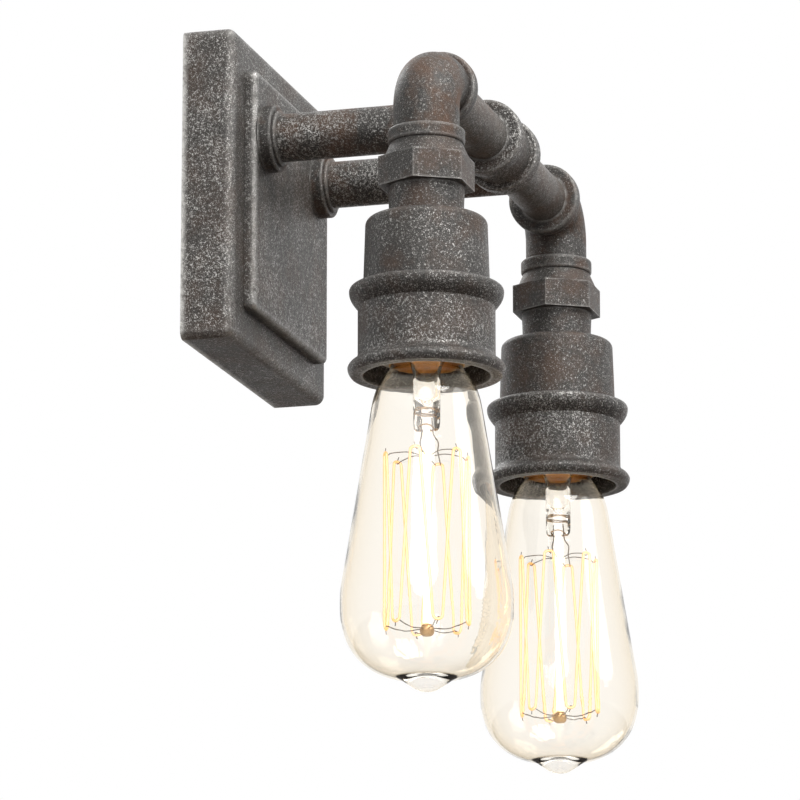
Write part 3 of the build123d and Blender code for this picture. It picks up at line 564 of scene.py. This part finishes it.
@once("rolled_thread")
def thread_tree(name):
    """Rolls a right-handed thread into an upright turned sheet, fading out at both ends."""
    w, given, close = geometry_tree(name, {
        "Axis": "Vector", "Pitch": 0.0036, "Depth": 0.001, "Start": 0.0, "End": 0.02, "Runout": 0.002,
    })
    place = w.made("GeometryNodeInputPosition")
    flat = w.add("ShaderNodeSeparateXYZ", {0: w.vector("SUBTRACT", place, given["Axis"])}).outputs
    level = w.add("ShaderNodeSeparateXYZ", {0: place}).outputs[2]
    angle = w.math("ARCTAN2", flat[1], flat[0])
    turns = w.math("DIVIDE", level, given["Pitch"])
    phase = w.math("SUBTRACT", w.times(turns, FULL_TURN), angle)
    wave = w.math("SUBTRACT", w.math("COSINE", phase), 1.0)
    rise = w.math("DIVIDE", w.math("SUBTRACT", level, given["Start"]), given["Runout"], clamp=True)
    fall = w.math("DIVIDE", w.math("SUBTRACT", given["End"], level), given["Runout"], clamp=True)
    inward = w.times(w.times(w.times(wave, 0.5), w.times(rise, fall)), given["Depth"])
    radial = w.made("ShaderNodeCombineXYZ", {0: flat[0], 1: flat[1]})
    step = w.vector("SCALE", w.vector("NORMALIZE", radial), inward)
    return close(w.made("GeometryNodeSetPosition", {"Geometry": given["Mesh"], "Offset": step}))


@once("wire_round_axis")
def wire_tree(name):
    """Draws round wire along every line of the mesh and sets it out a number of times round an upright axis."""
    w, given, close = geometry_tree(name, {
        "Axis": "Vector", "Thickness": 0.0004, "Sides": 8, "Count": 1, "Step": 0.0,
    })
    curve = w.made("GeometryNodeMeshToCurve", {0: given["Mesh"]})
    half = w.times(given["Thickness"], 0.5)
    ring = w.made("GeometryNodeCurvePrimitiveCircle", {"Resolution": given["Sides"], "Radius": half})
    wire = w.made("GeometryNodeCurveToMesh", {"Curve": curve, "Profile Curve": ring, "Fill Caps": True})
    soft = w.made("GeometryNodeSetShadeSmooth", {"Geometry": wire, "Shade Smooth": True})
    spots = w.made("GeometryNodePoints", {"Count": given["Count"], "Position": given["Axis"]})
    spin = w.made("ShaderNodeCombineXYZ", {2: w.times(w.made("GeometryNodeInputIndex"), given["Step"])})
    back = w.vector("SCALE", given["Axis"], -1.0)
    centred = w.made("GeometryNodeTransform", {"Geometry": soft, "Translation": back})
    return close(w.made("GeometryNodeInstanceOnPoints", {"Points": spots, "Instance": centred, "Rotation": spin}))


@once("set_out_in_row")
def row_tree(name):
    """Sets a piece out in a row."""
    w, given, close = geometry_tree(name, {
        "First": "Vector", "Step": "Vector", "Count": 2, "Turn": "Vector", "Turn Step": "Vector",
    })
    sizes = {"Count": given["Count"], "Start Location": given["First"], "Offset": given["Step"]}
    row = w.made("GeometryNodeMeshLine", sizes, mode="OFFSET")
    extra = w.vector("SCALE", given["Turn Step"], w.made("GeometryNodeInputIndex"))
    turn = w.vector("ADD", given["Turn"], extra)
    return close(w.made("GeometryNodeInstanceOnPoints", {"Points": row, "Instance": given["Mesh"], "Rotation": turn}))


def made_plain(piece, modifier):
    """Leaves a piece the plain mesh that its modifier makes."""
    bpy.context.view_layer.update()
    seen = piece.evaluated_get(bpy.context.evaluated_depsgraph_get())
    made = bpy.data.meshes.new_from_object(seen)
    if not made.polygons:
        raise RuntimeError(f"{piece.name}: the modifier {modifier.name} made no faces")
    piece.modifiers.remove(modifier)
    piece.data = made
    return piece


def run_tree(piece, tree, finish, **sizes):
    """Runs a geometry tree on a piece and leaves it a plain mesh."""
    modifier = piece.modifiers.new(tree.name, "NODES")
    modifier.node_group = tree
    sockets = {s.name: s.identifier for s in tree.interface.items_tree if s.in_out == "INPUT"}
    modifier[sockets["Finish"]] = finish
    for key, value in sizes.items():
        label = key.replace("_", " ").title()
        modifier[sockets[label]] = tuple(value) if isinstance(value, Vector) else value
    return made_plain(piece, modifier)


def joined(name, pieces):
    """Several pieces as one, under a new name."""
    build = bmesh.new()
    materials = []
    for piece in pieces:
        start = len(build.faces)
        build.from_mesh(piece.data)
        build.faces.ensure_lookup_table()
        for face in build.faces[start:]:
            mat = piece.data.materials[face.material_index]
            if mat not in materials:
                materials.append(mat)
            face.material_index = materials.index(mat)
    mesh = bpy.data.meshes.new(name)
    build.to_mesh(mesh)
    build.free()
    for mat in materials:
        mesh.materials.append(mat)
    for piece in pieces:
        bpy.data.objects.remove(piece)
    return placed(name, mesh)


def middle(node):
    """The middle of a CAD node's box."""
    low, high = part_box(node)
    return (low + high) / 2


def settle(piece, body, slot_name, *nodes):
    """Rides a piece on its body in place of the nodes, which it hides."""
    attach(piece, body)
    if nodes:
        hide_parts(*nodes)


def round_path(line):
    """Points along a smooth line through the points given."""
    ends = [line[0] * 2 - line[1], *line, line[-1] * 2 - line[-2]]
    made = []
    for i in range(1, len(ends) - 2):
        before, here, after, beyond = ends[i - 1 : i + 3]
        lean_here, lean_after = (after - before) / 2, (beyond - here) / 2
        for part in range(PATH_PARTS):
            t = part / PATH_PARTS
            made.append(
                (2 * t**3 - 3 * t**2 + 1) * here + (t**3 - 2 * t**2 + t) * lean_here
                + (3 * t**2 - 2 * t**3) * after + (t**3 - t**2) * lean_after
            )
    return [*made, line[-1]]


# ---- operators


class PIPELIGHT_OT_ironwork(bpy.types.Operator):
    """Finish the wall plate, pipes, flanges, fittings, cups and collars in weathered iron"""

    bl_idname = "pipelight.ironwork"
    bl_label = "Finish the ironwork"

    def execute(self, context):
        finish = context.scene.pipelight_finish
        for coat, nodes, look in (
            ("plate", ["backplate"], dict(flecks=0.66, rust=0.34, edges=1.25, reach=0.0026, tone=1.08)),
            ("arm", both_sides("arm_pipe"), dict(grain=1.15, flecks=0.72, rust=0.8, edges=0.4, tone=0.9)),
            # the crossbar's coat is made 2.1 times as light as the plain ground
            (
                "crossbar", both_sides("crossbar_pipe"),
                dict(grain=0.9, flecks=0.52, rust=0.6, edges=0.3, tone=2.1, depth=0.0003),
            ),
            ("flange", both_sides("arm_flange"), dict(flecks=0.34, rust=0.95, edges=0.62, tone=0.72)),
            ("coupling", ["centre_coupling"], dict(grain=1.05, flecks=0.66, rust=0.42, edges=0.85, reach=0.0014)),
            ("elbow", both_sides("elbow"), dict(flecks=0.36, rust=1.0, edges=0.8, reach=0.0014, tone=0.95)),
            ("nipple", both_sides("nipple"), dict(flecks=0.3, rust=0.6, edges=0.4, tone=0.8)),
            (
                "hexagon", both_sides("hexagon_coupling"),
                dict(grain=0.9, flecks=0.30, rust=0.55, edges=0.34, reach=0.0008, tone=0.85, depth=0.0003),
            ),
            ("cup", both_sides("socket_cup"), dict(flecks=0.42, rust=0.5, edges=0.5, tone=0.82)),
            ("collar", both_sides("collar"), dict(flecks=0.66, rust=0.35, edges=0.6, reach=0.0013, tone=0.92)),
        ):
            dress(nodes, iron(f"{coat}_iron", finish, **look))
        return {"FINISHED"}


class PIPELIGHT_OT_strap(bpy.types.Operator):
    """Finish the strap, nuts and washers behind the wall plate"""

    bl_idname = "pipelight.strap"
    bl_label = "Finish the strap and nuts"

    def execute(self, context):
        finish = context.scene.pipelight_finish
        zinc = sheet_metal("zinc_plate", finish.zinc, (0.36, 0.34, 0.28), 0.5, 0.0045)
        dress(["mounting_strap", *both_sides("arm_washer", "arm_locknut")], zinc)
        return {"FINISHED"}


def threaded_sheet(name, node, body, rows, wall, rim, crown, finish, **thread):
    """A turned sheet in a CAD node's place, with its thread rolled in. crown is its profile above the rim."""
    low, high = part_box(node)
    centre = middle(node)
    outer = (high.x - low.x) / 2
    heights = [low.z + (rim - low.z) * i / rows for i in range(rows + 1)]
    profile = [(outer, z) for z in heights] + crown
    profile += [(outer - wall, z - wall * 0.4) for z in reversed(heights[1:])] + [(outer - wall, low.z)]
    sheet = turned(name, profile, centre, SHEET_SEGMENTS, closed=True)
    run_tree(sheet, thread_tree(), finish, axis=centre, **thread)
    settle(sheet, body, "brass", node)


class PIPELIGHT_OT_lampholders(bpy.types.Operator):
    """Finish the porcelain, its sprung contacts and the leads, and roll the thread of each screw shell"""

    bl_idname = "pipelight.lampholders"
    bl_label = "Finish the lampholders"

    def execute(self, context):
        finish, bulbs = context.scene.pipelight_finish, context.scene.pipelight_bulbs
        brass = sheet_metal("rolled_brass", finish.brass, (0.42, 0.25, 0.10), 0.55, 0.006)
        dress(both_sides("centre_contact"), brass)
        for stem, name, *look in (
            ("lampholder", "porcelain_glaze", finish.porcelain, (0.74, 0.70, 0.63), 120.0, 0.16, 0.00005, 0.6, 0.35),
            ("lead_live", "black_lead", (0.022, 0.022, 0.024), (0.05, 0.05, 0.05), 500.0, 0.42, 0.00004),
            ("lead_neutral", "white_lead", (0.74, 0.73, 0.70), (0.56, 0.54, 0.50), 500.0, 0.42, 0.00004),
        ):
            dress(both_sides(stem), plain_coat(name, *look))
        wall, hole_share = 0.0006, 0.30
        for side in SIDES:
            node = f"screw_shell_{side}"
            low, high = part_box(node)
            outer = (high.x - low.x) / 2
            hole, rim = outer * hole_share, high.z - wall
            threaded_sheet(
                f"screw_shell_rolled_{side}", node, "root", 64, wall, rim,
                [(outer - wall, high.z), (hole, high.z), (hole, rim)], brass,
                pitch=bulbs.thread_pitch, depth=0.0004, start=low.z + 0.0016, end=high.z - 0.0012, runout=0.0018,
            )
        return {"FINISHED"}


def slotted_head(name, radius, height, shank, length, slot):
    """A domed screw with a slot, standing on its head's underside with its shank below."""
    dome_rows, turns = 8, 14
    profile = [(0.0, height)]
    for i in range(1, dome_rows + 1):
        angle = i / dome_rows * math.pi / 2
        profile.append((radius * math.sin(angle) ** 0.9, height * (0.38 + 0.62 * math.cos(angle))))
    profile += [(radius, 0.0), (shank, 0.0)]
    for i in range(turns):
        foot = -length * (0.12 + 0.80 * i / turns)
        profile += [(shank, foot), (shank * 0.84, foot - length * 0.40 / turns)]
    profile += [(shank * 0.8, -length), (0.0, -length)]
    piece = turned(name, profile, Vector((0, 0, 0)), 40)
    cutter = bmesh.new()
    bmesh.ops.create_cube(cutter, size=1.0)
    for vert in cutter.verts:
        vert.co = (vert.co.x * slot, vert.co.y * radius * 4, vert.co.z * slot * 2 + height)
    slot_mesh = bpy.data.meshes.new("slot")
    cutter.to_mesh(slot_mesh)
    cutter.free()
    block = placed("slot", slot_mesh)
    cut = piece.modifiers.new("slot", "BOOLEAN")
    cut.object, cut.operation, cut.solver = block, "DIFFERENCE", "EXACT"
    made_plain(piece, cut)
    bpy.data.objects.remove(block)
    sharpen(piece)
    return piece


def screw_pair(name, node, seat, head, shank, length, slot, finish, slot_name, turn, turn_step):
    """Two slotted screws in a CAD node's place. seat is midway between them, on the undersides of their heads."""
    low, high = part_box(node)
    radius = (high.y - low.y) / 2
    spacing = high.x - low.x - 2 * radius
    pair = slotted_head(name, radius, head, shank, length, slot)
    run_tree(
        pair, row_tree(), finish, first=Vector((seat.x - spacing / 2, seat.y, seat.z)),
        step=Vector((spacing, 0, 0)), count=2, turn=Vector(turn), turn_step=Vector((0, 0, turn_step)),
    )
    settle(pair, "root", slot_name, node)


class PIPELIGHT_OT_screws(bpy.types.Operator):
    """Make the slotted screws on the plate's top and in the lampholders, and the strap's hexagon screw"""

    bl_idname = "pipelight.screws"
    bl_label = "Make the screws"

    def execute(self, context):
        finish = context.scene.pipelight_finish
        dark = iron("screw_iron", finish, grain=0.7, edges=1.0)
        low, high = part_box("canopy_screws")
        seat = Vector((0, middle("canopy_screws").y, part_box("backplate")[1].z))
        screw_pair(
            "canopy_screws_slotted", "canopy_screws", seat, high.z - seat.z, 0.002, seat.z - low.z, 0.0011,
            dark, "weathered_iron", (0, 0, 0.5), 1.3,
        )
        head = 0.0022
        for side in SIDES:
            node = f"lampholder_screws_{side}"
            low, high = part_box(node)
            seat = Vector((middle(node).x, middle(node).y, low.z + head))
            screw_pair(
                f"lampholder_screws_slotted_{side}", node, seat, head, 0.0017, high.z - low.z - head, 0.0009,
                bpy.data.materials["zinc_plate"], "zinc_steel", (math.pi, 0, 0.4), 0.9,
            )
        self.ground_screw(finish)
        return {"FINISHED"}

    def ground_screw(self, finish):
        """The green screw on the strap, with its hexagon head and a short shank."""
        low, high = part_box("ground_screw")
        centre = middle("ground_screw")
        head, radius = 0.003, (high.z - low.z) / 2
        shank, shank_length = 0.002, 0.002
        # share of the radius and share of the head's height, from its raised middle down to the strap
        rings = [(0.62, 0.0), (0.66, 0.12), (0.86, 0.12), (0.98, 0.22), (1.0, 0.34), (1.0, 1.0), (0.55, 1.0)]
        sides = 6
        corners = [FULL_TURN * (i + 0.5) / sides for i in range(sides)]
        points = [
            (centre.x + radius * share * math.sin(a), low.y + head * depth, centre.z + radius * share * math.cos(a))
            for share, depth in rings for a in corners
        ]
        last = (len(rings) - 1) * sides
        faces = [face for start in range(0, last, sides) for face in band_faces(start, start + sides, sides)]
        faces += [list(range(sides)), list(range(last, last + sides))]
        green = plain_coat("ground_green_paint", finish.ground_green, (0.03, 0.15, 0.05), 400.0, 0.35, 0.00005, 0.2)
        hexagon = mesh_piece("ground_screw_head", points, faces, green, smooth=False)
        profile = [(0.0, 0.0), (shank, 0.0), (shank, shank_length), (0.0, shank_length)]
        pin = turned("ground_screw_shank", profile, Vector((0, 0, 0)), 32, green)
        for vert in pin.data.vertices:
            x, y, z = vert.co
            vert.co = (centre.x + x, high.y - z, centre.z + y)
        sharpen(pin)
        settle(joined("ground_screw_hexagon", [hexagon, pin]), "root", "green_paint", "ground_screw")


class PIPELIGHT_OT_caps(bpy.types.Operator):
    """Make the bulbs' threaded caps and the cement, which glows with painted light of the filament, and finish their
    insulator and solder
    """

    bl_idname = "pipelight.caps"
    bl_label = "Make the bulbs' caps"

    def execute(self, context):
        bulbs = context.scene.pipelight_bulbs
        brass = bpy.data.materials["rolled_brass"]
        black = (0.012, 0.010, 0.014)
        vitrite = plain_coat("black_insulator_glass", black, (0.03, 0.024, 0.03), 260.0, 0.08, 0.00004, 0.5)
        dress(both_sides("bulb_insulator"), vitrite)
        solder = sheet_metal("solder_tin", (0.62, 0.61, 0.58), (0.34, 0.32, 0.30), 0.6, 0.002, 0.00012)
        dress(both_sides("bulb_contact"), solder)
        # painted glow: the cement is bright orange and glows, standing in for the filament's light falling on it
        cement = plain_coat("cap_cement_painted_glow", (0.88, 0.40, 0.06), (0.66, 0.25, 0.03), 260.0, 0.4, 0.0002, glow=1.25)
        wall, crown = 0.0005, 0.0021
        for side in SIDES:
            node = f"bulb_cap_{side}"
            low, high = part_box(node)
            outer = (high.x - low.x) / 2
            insulator_low, insulator_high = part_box(f"bulb_insulator_{side}")
            opening = (insulator_high.x - insulator_low.x) / 2
            shoulder, brow = opening + (outer - opening) * 0.45, high.z - crown * 0.25
            threaded_sheet(
                f"bulb_cap_threaded_{side}", node, f"bulb_{side}", 72, wall, high.z - crown,
                [(shoulder, brow), (opening, high.z), (opening, high.z - wall), (shoulder - wall * 0.5, brow - wall)],
                brass, pitch=bulbs.thread_pitch, depth=bulbs.thread_depth, start=low.z + 0.0042,
                end=high.z - crown - 0.0004, runout=0.0022,
            )
            neck_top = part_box(f"bulb_glass_{side}")[1].z
            ring_out, ring_in, foot = outer - wall - bulbs.thread_depth - 0.0002, 0.0030, neck_top + 0.0003
            profile = [(ring_in, foot), (ring_out, foot), (ring_out, neck_top + 0.0040), (ring_in, neck_top + 0.0034)]
            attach(turned(f"bulb_cement_{side}", profile, middle(node), 64, cement, closed=True), f"bulb_{side}")
        return {"FINISHED"}


class BulbInside:
    """Makes everything that one bulb's glass holds, in the places of its CAD nodes."""

    def __init__(self, side, bulbs, finishes):
        self.side, self.bulbs, self.finishes, self.body = side, bulbs, finishes, f"bulb_{side}"
        centre = middle(f"bulb_glass_{side}")
        self.axis = Vector((centre.x, centre.y, 0))
        self.stem_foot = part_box(f"bulb_glass_{side}")[0].z + STEM_FOOT_RISE
        self.button_foot, supports_high = (corner.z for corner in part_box(f"bulb_supports_{side}"))
        self.hooks_top = supports_high - 0.0006
        self.hooks_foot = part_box(f"bulb_filament_{side}")[0].z + 0.0008

    def at(self, x, y, z):
        """A place beside the bulb's axis, at a height."""
        return Vector((self.axis.x + x, self.axis.y + y, z))

    def round_axis(self, radius, angle, z):
        """A place at a radius and an angle from the bulb's axis."""
        return self.at(radius * math.cos(angle), radius * math.sin(angle), z)

    def wires(self, name, runs, finish, thickness, count=1, step=0.0):
        """Round wire along each run, set out a number of times round the axis."""
        return run_tree(
            path_piece(name, runs), wire_tree(), self.finishes[finish], axis=self.axis, thickness=thickness,
            sides=WIRE_SIDES, count=count, step=step,
        )

    def make_stem(self):
        """A flared tube, pinched flat into the press at its foot."""
        stem_low, stem_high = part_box(f"bulb_stem_{self.side}")
        flare = (stem_high.x - stem_low.x) / 2
        head, foot, stem, wall = stem_high.z, self.stem_foot, STEM_RADIUS, STEM_WALL
        tube_head, tube_foot, rows = head - 0.0080, foot + 0.0072, 4
        profile = [(0.0, foot - 0.0003), (stem * 0.80, foot), (stem * 0.96, foot + 0.0010), (stem, foot + 0.0030)]
        profile += [(stem, tube_head + (tube_foot - tube_head) * i / rows) for i in range(rows, -1, -1)]
        profile += [(stem * 1.25, head - 0.0042), (flare * 0.80, head - 0.0012), (flare, head)]
        profile += [(flare * 0.80 - wall * 0.6, head - 0.0004), (stem * 1.25 - wall, head - 0.0038)]
        profile += [(stem - wall, head - 0.0085), (stem - wall, foot + 0.0115), (0.0, foot + 0.0085)]
        tube = turned(f"bulb_stem_tube_{self.side}", profile, self.axis, 64, self.finishes["stem"])
        pinch_top, pinch_height, pinch = foot + 0.0100, 0.0050, 0.52
        for vert in tube.data.vertices:
            if vert.co.z < pinch_top:
                share = min(1.0, (pinch_top - vert.co.z) / pinch_height)
                vert.co.x = self.axis.x + (vert.co.x - self.axis.x) * (1 - pinch * share)
        settle(tube, self.body, "stem_glass", f"bulb_stem_{self.side}")

    def make_rod(self):
        """A solid rod from the press to the button, with a bead at the upper ring of hooks."""
        start, foot, rod, rows = self.stem_foot, self.hooks_foot, ROD_RADIUS, 24
        run = start + 0.0006 - foot
        profile = [(0.0, start + 0.0008), (rod * 0.9, start + 0.0006)]
        profile += [(rod * (1 + 0.05 * math.sin(i * 1.7)), start - run * i / rows) for i in range(1, rows)]
        profile += [(rod * 1.15, foot + 0.0012), (rod * 0.9, foot + 0.0004), (0.0, foot + 0.0002)]
        glass = turned("rod", profile, self.axis, 32, self.finishes["rod"])
        rings = ((1.02, 0.0014), (1.7, 0.0010), (1.95, 0.0), (1.7, -0.0010), (1.02, -0.0014))
        profile = [(rod * share, self.hooks_top + rise) for share, rise in rings]
        bead = turned("bead", profile, self.axis, 32, self.finishes["rod"], closed=True)
        settle(joined(f"bulb_rod_glass_{self.side}", [glass, bead]), self.body, "stem_glass")

    def button(self):
        """The brown bead at the foot of the rod, which holds the lower hooks."""
        top, foot, rows = self.hooks_foot + 0.0006, self.button_foot, 10
        profile = [(0.0, top)]
        for i in range(1, rows):
            angle = math.pi * i / rows
            height = (top + foot) / 2 + (top - foot) / 2 * math.cos(angle)
            profile.append((BUTTON_RADIUS * math.sin(angle) ** 0.6, height))
        return turned("button", [*profile, (0.0, foot)], self.axis, 32, self.finishes["band"])

    def hook(self, root, level, bends, angle):
        """One support wire from its root to the cage, turned about the axis by an angle."""
        line = [root, *(self.at(CAGE_RADIUS * share, aside, level + rise) for share, aside, rise in bends)]
        turn_x, turn_y = math.cos(angle), math.sin(angle)
        made = []
        for p in round_path(line):
            x, y = p.x - self.axis.x, p.y - self.axis.y
            made.append(self.at(x * turn_x - y * turn_y, x * turn_y + y * turn_x, p.z))
        return made

    def make_supports(self):
        """The hooks above and below, the leads to the filament, the press's binding wire and the button."""
        top, foot, press, thick = self.hooks_top, self.hooks_foot, self.stem_foot, self.bulbs.wire_thickness
        hooks = self.bulbs.hooks
        step = FULL_TURN / hooks
        low = self.hook(self.at(BUTTON_RADIUS * 0.8, 0, foot - 0.0008), foot, FOOT_HOOK, step / 2)
        high = self.hook(self.at(ROD_RADIUS * 1.5, 0, top + 0.0004), top, TOP_HOOK, step)
        # the leads stand in the place of the sixth hook at the top
        pieces = [
            self.wires("foot_wires", [low], "wire", thick, hooks, step),
            self.wires("top_wires", [high], "wire", thick, hooks - 1, step),
        ]
        leads = [
            round_path([
                self.at(x, way * y, z)
                for x, y, z in (
                    (0.0006, 0.0016, press + 0.0045), (0.0010, 0.0021, press - 0.0010),
                    (0.0030, 0.0032, press - 0.0035), (0.0046, 0.0026, press - 0.0062),
                    (CAGE_RADIUS * 0.62, 0.0018, top + 0.0018), (CAGE_RADIUS * 0.99, 0.0009, top + 0.0002),
                )
            ])
            for way in (-1, 1)
        ]
        pieces.append(self.wires("lead_wires", leads, "wire", thick * 1.3))
        bands, reach, parts = [], STEM_RADIUS + 0.0002, 32
        for rise, squeeze in ((0.0072, 0.75), (0.0068, 0.75), (0.0012, 0.50)):
            level = press + rise
            ring = []
            for i in range(parts + 1):
                angle = FULL_TURN * i / parts
                wobble = 0.0002 * math.sin(3 * angle + level * 9000)
                ring.append(self.at(reach * math.cos(angle), reach * squeeze * math.sin(angle), level + wobble))
            bands.append(ring)
        pieces += [self.wires("band_wires", bands, "band", thick * 1.5), self.button()]
        supports = joined(f"bulb_support_wires_{self.side}", pieces)
        settle(supports, self.body, "support_wire", f"bulb_supports_{self.side}")

    def make_filament(self):
        """The lit strand: a V from a top hook round a foot hook and up to the next, set out round the cage."""
        step = FULL_TURN / self.bulbs.hooks
        half_loop = 0.0017 / CAGE_RADIUS
        arch, sag, parts = 0.0011, 0.0016, 8
        top, foot = self.hooks_top - arch + 0.0006, self.hooks_foot + sag - 0.0004

        def bend(middle_angle, level, rise):
            """The strand's turn over a hook."""
            turns = [math.pi * i / parts for i in range(parts + 1)]
            return [
                self.round_axis(CAGE_RADIUS, middle_angle - half_loop * math.cos(t), level + rise * math.sin(t))
                for t in turns
            ]

        def leg(first, last, start, end):
            """A straight run between two hooks, a little bowed inwards."""
            places = []
            for part in range(1, parts):
                i = part / parts
                radius = CAGE_RADIUS * (1 - 0.012 * math.sin(math.pi * i))
                places.append(self.round_axis(radius, first + (last - first) * i, start + (end - start) * i))
            return places

        half, end = step / 2, step - half_loop
        line = bend(0, top, arch) + leg(half_loop, half - half_loop, top, foot) + bend(half, foot, -sag)
        line += [*leg(half + half_loop, end, foot, top), self.round_axis(CAGE_RADIUS, end, top)]
        name = f"bulb_filament_lit_{self.side}"
        strand = self.wires(name, [line], "strand", self.bulbs.filament_thickness, self.bulbs.hooks, step)
        settle(strand, self.body, "filament", f"bulb_filament_{self.side}")


class PIPELIGHT_OT_bulbs(bpy.types.Operator):
    """Finish the glass and make each bulb's stem, support wires, leads and lit filament"""

    bl_idname = "pipelight.bulbs"
    bl_label = "Make the bulbs' insides"

    def execute(self, context):
        bulbs = context.scene.pipelight_bulbs
        envelope = clear_glass("envelope_glass", (0.995, 0.972, 0.93), bulbs.glass_edge_glow, 26.0, 0.0006)
        dress(both_sides("bulb_glass"), envelope)
        finishes = {
            "stem": clear_glass("stem_lead_glass", (1.0, 0.99, 0.97), (0.90, 0.86, 0.76), 160.0, 0.0003, 1.33),
            "rod": glass_rod(bulbs),
            "wire": sheet_metal("support_molybdenum", (0.20, 0.17, 0.14), (0.10, 0.06, 0.04), 0.6, 0.003),
            "band": sheet_metal("stem_band_wire", (0.50, 0.33, 0.17), (0.20, 0.12, 0.06), 0.6, 0.003),
            "strand": glowing_filament(bulbs),
        }
        for side in SIDES:
            inside = BulbInside(side, bulbs, finishes)
            inside.make_stem()
            inside.make_rod()
            inside.make_supports()
            inside.make_filament()
        return {"FINISHED"}


class PIPELIGHT_OT_stage(bpy.types.Operator):
    """Set the camera, the soft lamps, the pale floor and the white background"""

    bl_idname = "pipelight.stage"
    bl_label = "Set the stage"

    def execute(self, context):
        stage = context.scene.pipelight_stage
        scene = context.scene
        scene.view_settings.view_transform = "Standard"

        eye = bpy.data.cameras.new("camera")
        eye.sensor_width = 36.0
        eye.lens = stage.camera_lens
        eye.clip_start, eye.clip_end = 0.05, 20.0
        camera = placed("camera", eye)
        camera.location = stage.camera_place
        yaw, pitch = stage.camera_yaw, stage.camera_pitch
        ahead = Vector((math.cos(pitch) * math.cos(yaw), math.cos(pitch) * math.sin(yaw), math.sin(pitch)))
        camera.rotation_euler = ahead.to_track_quat("-Z", "Y").to_euler()
        scene.camera = camera

        target = (cad_box[0] + cad_box[1]) / 2
        for name, place, size, power, colour in (
            ("key_lamp", (-0.85, -1.25, 1.70), 1.4, 42.0, (1.0, 0.99, 0.97)),
            ("front_lamp", (-0.05, -2.1, 0.70), 1.2, 10.0, (0.97, 0.985, 1.0)),
            ("side_lamp", (-1.7, -0.40, 0.60), 1.2, 11.0, (1.0, 1.0, 1.0)),
            ("back_lamp", (1.3, 1.2, 1.2), 1.0, 8.0, (1.0, 1.0, 1.0)),
        ):
            light = bpy.data.lights.new(name, "AREA")
            light.shape, light.size, light.energy, light.color = "DISK", size, power, colour
            lamp = placed(name, light)
            lamp.location = place
            lamp.rotation_euler = (target - Vector(place)).to_track_quat("-Z", "Y").to_euler()

        floor_mat, w, shader = new_material("pale_floor")
        cloud = w.noise(w.object_place(), 6.0, 3.0)
        path = w.add("ShaderNodeLightPath").outputs
        seen = w.math("MAXIMUM", path["Is Camera Ray"], path["Is Transmission Ray"])
        pale = w.blend(cloud, (0.80, 0.80, 0.79), (0.83, 0.83, 0.82))
        lift = w.times(path["Is Camera Ray"], 0.42)
        through_glass = w.times(path["Is Transmission Ray"], 0.7)
        w.fit(shader, {
            "Base Color": w.blend(seen, (0.24, 0.21, 0.19), pale), "Emission Color": (1, 1, 1),
            "Emission Strength": w.plus(lift, through_glass), "Roughness": 0.8,
        })
        corners, reach = 64, 3.0
        turns = [FULL_TURN * i / corners for i in range(corners)]
        rim = [(reach * math.cos(t), reach * math.sin(t), -stage.floor_drop) for t in turns]
        floor = mesh_piece("floor", rim, [list(range(corners))], floor_mat, smooth=False)

        world = bpy.data.worlds.new("studio")
        scene.world = world
        world.use_nodes = True
        w = Wiring(world.node_tree)
        even = w.fit(world.node_tree.nodes["Background"], {"Color": (1, 1, 1), "Strength": stage.ambient})
        white = w.made("ShaderNodeBackground", {"Color": (1, 1, 1), "Strength": 1.0})
        path = w.add("ShaderNodeLightPath").outputs
        seen = w.math("MAXIMUM", path["Is Camera Ray"], path["Is Glossy Ray"])
        seen = w.math("MAXIMUM", seen, path["Is Transmission Ray"])
        both = w.made("ShaderNodeMixShader", {0: seen, 1: even.outputs[0], 2: white})
        w.feed(world.node_tree.nodes["World Output"].inputs["Surface"], both)
        return {"FINISHED"}


class PIPELIGHT_PT_sidebar(bpy.types.Panel):
    """Lists the steps and the sizes that they read"""

    bl_idname = "PIPELIGHT_PT_sidebar"
    bl_label = "Pipe wall light"
    bl_space_type = "VIEW_3D"
    bl_region_type = "UI"
    bl_category = "Pipe light"

    def draw(self, context):
        for step in STEPS:
            self.layout.operator(step.bl_idname)
        for group in SETTINGS:
            settings = getattr(context.scene, group)
            box = self.layout.box()
            for name in settings.__annotations__:
                box.prop(settings, name)


STEPS = (
    PIPELIGHT_OT_ironwork,
    PIPELIGHT_OT_strap,
    PIPELIGHT_OT_lampholders,
    PIPELIGHT_OT_screws,
    PIPELIGHT_OT_caps,
    PIPELIGHT_OT_bulbs,
    PIPELIGHT_OT_stage,
)
SETTINGS = {
    "pipelight_finish": PIPELIGHT_PG_finish,
    "pipelight_bulbs": PIPELIGHT_PG_bulbs,
    "pipelight_stage": PIPELIGHT_PG_stage,
}


def register():
    """Registers the settings, the steps and the panel."""
    for cls in (*SETTINGS.values(), *STEPS, PIPELIGHT_PT_sidebar):
        bpy.utils.register_class(cls)
    for name, cls in SETTINGS.items():
        setattr(bpy.types.Scene, name, PointerProperty(type=cls))


def unregister():
    """Takes them all out again."""
    for name in SETTINGS:
        delattr(bpy.types.Scene, name)
    for cls in reversed((*SETTINGS.values(), *STEPS, PIPELIGHT_PT_sidebar)):
        bpy.utils.unregister_class(cls)


def main():
    """Runs every step in order."""
    register()
    bpy.ops.pipelight.ironwork()
    bpy.ops.pipelight.strap()
    bpy.ops.pipelight.lampholders()
    bpy.ops.pipelight.screws()
    bpy.ops.pipelight.caps()
    bpy.ops.pipelight.bulbs()
    bpy.ops.pipelight.stage()


if __name__ == "__main__":
    main()
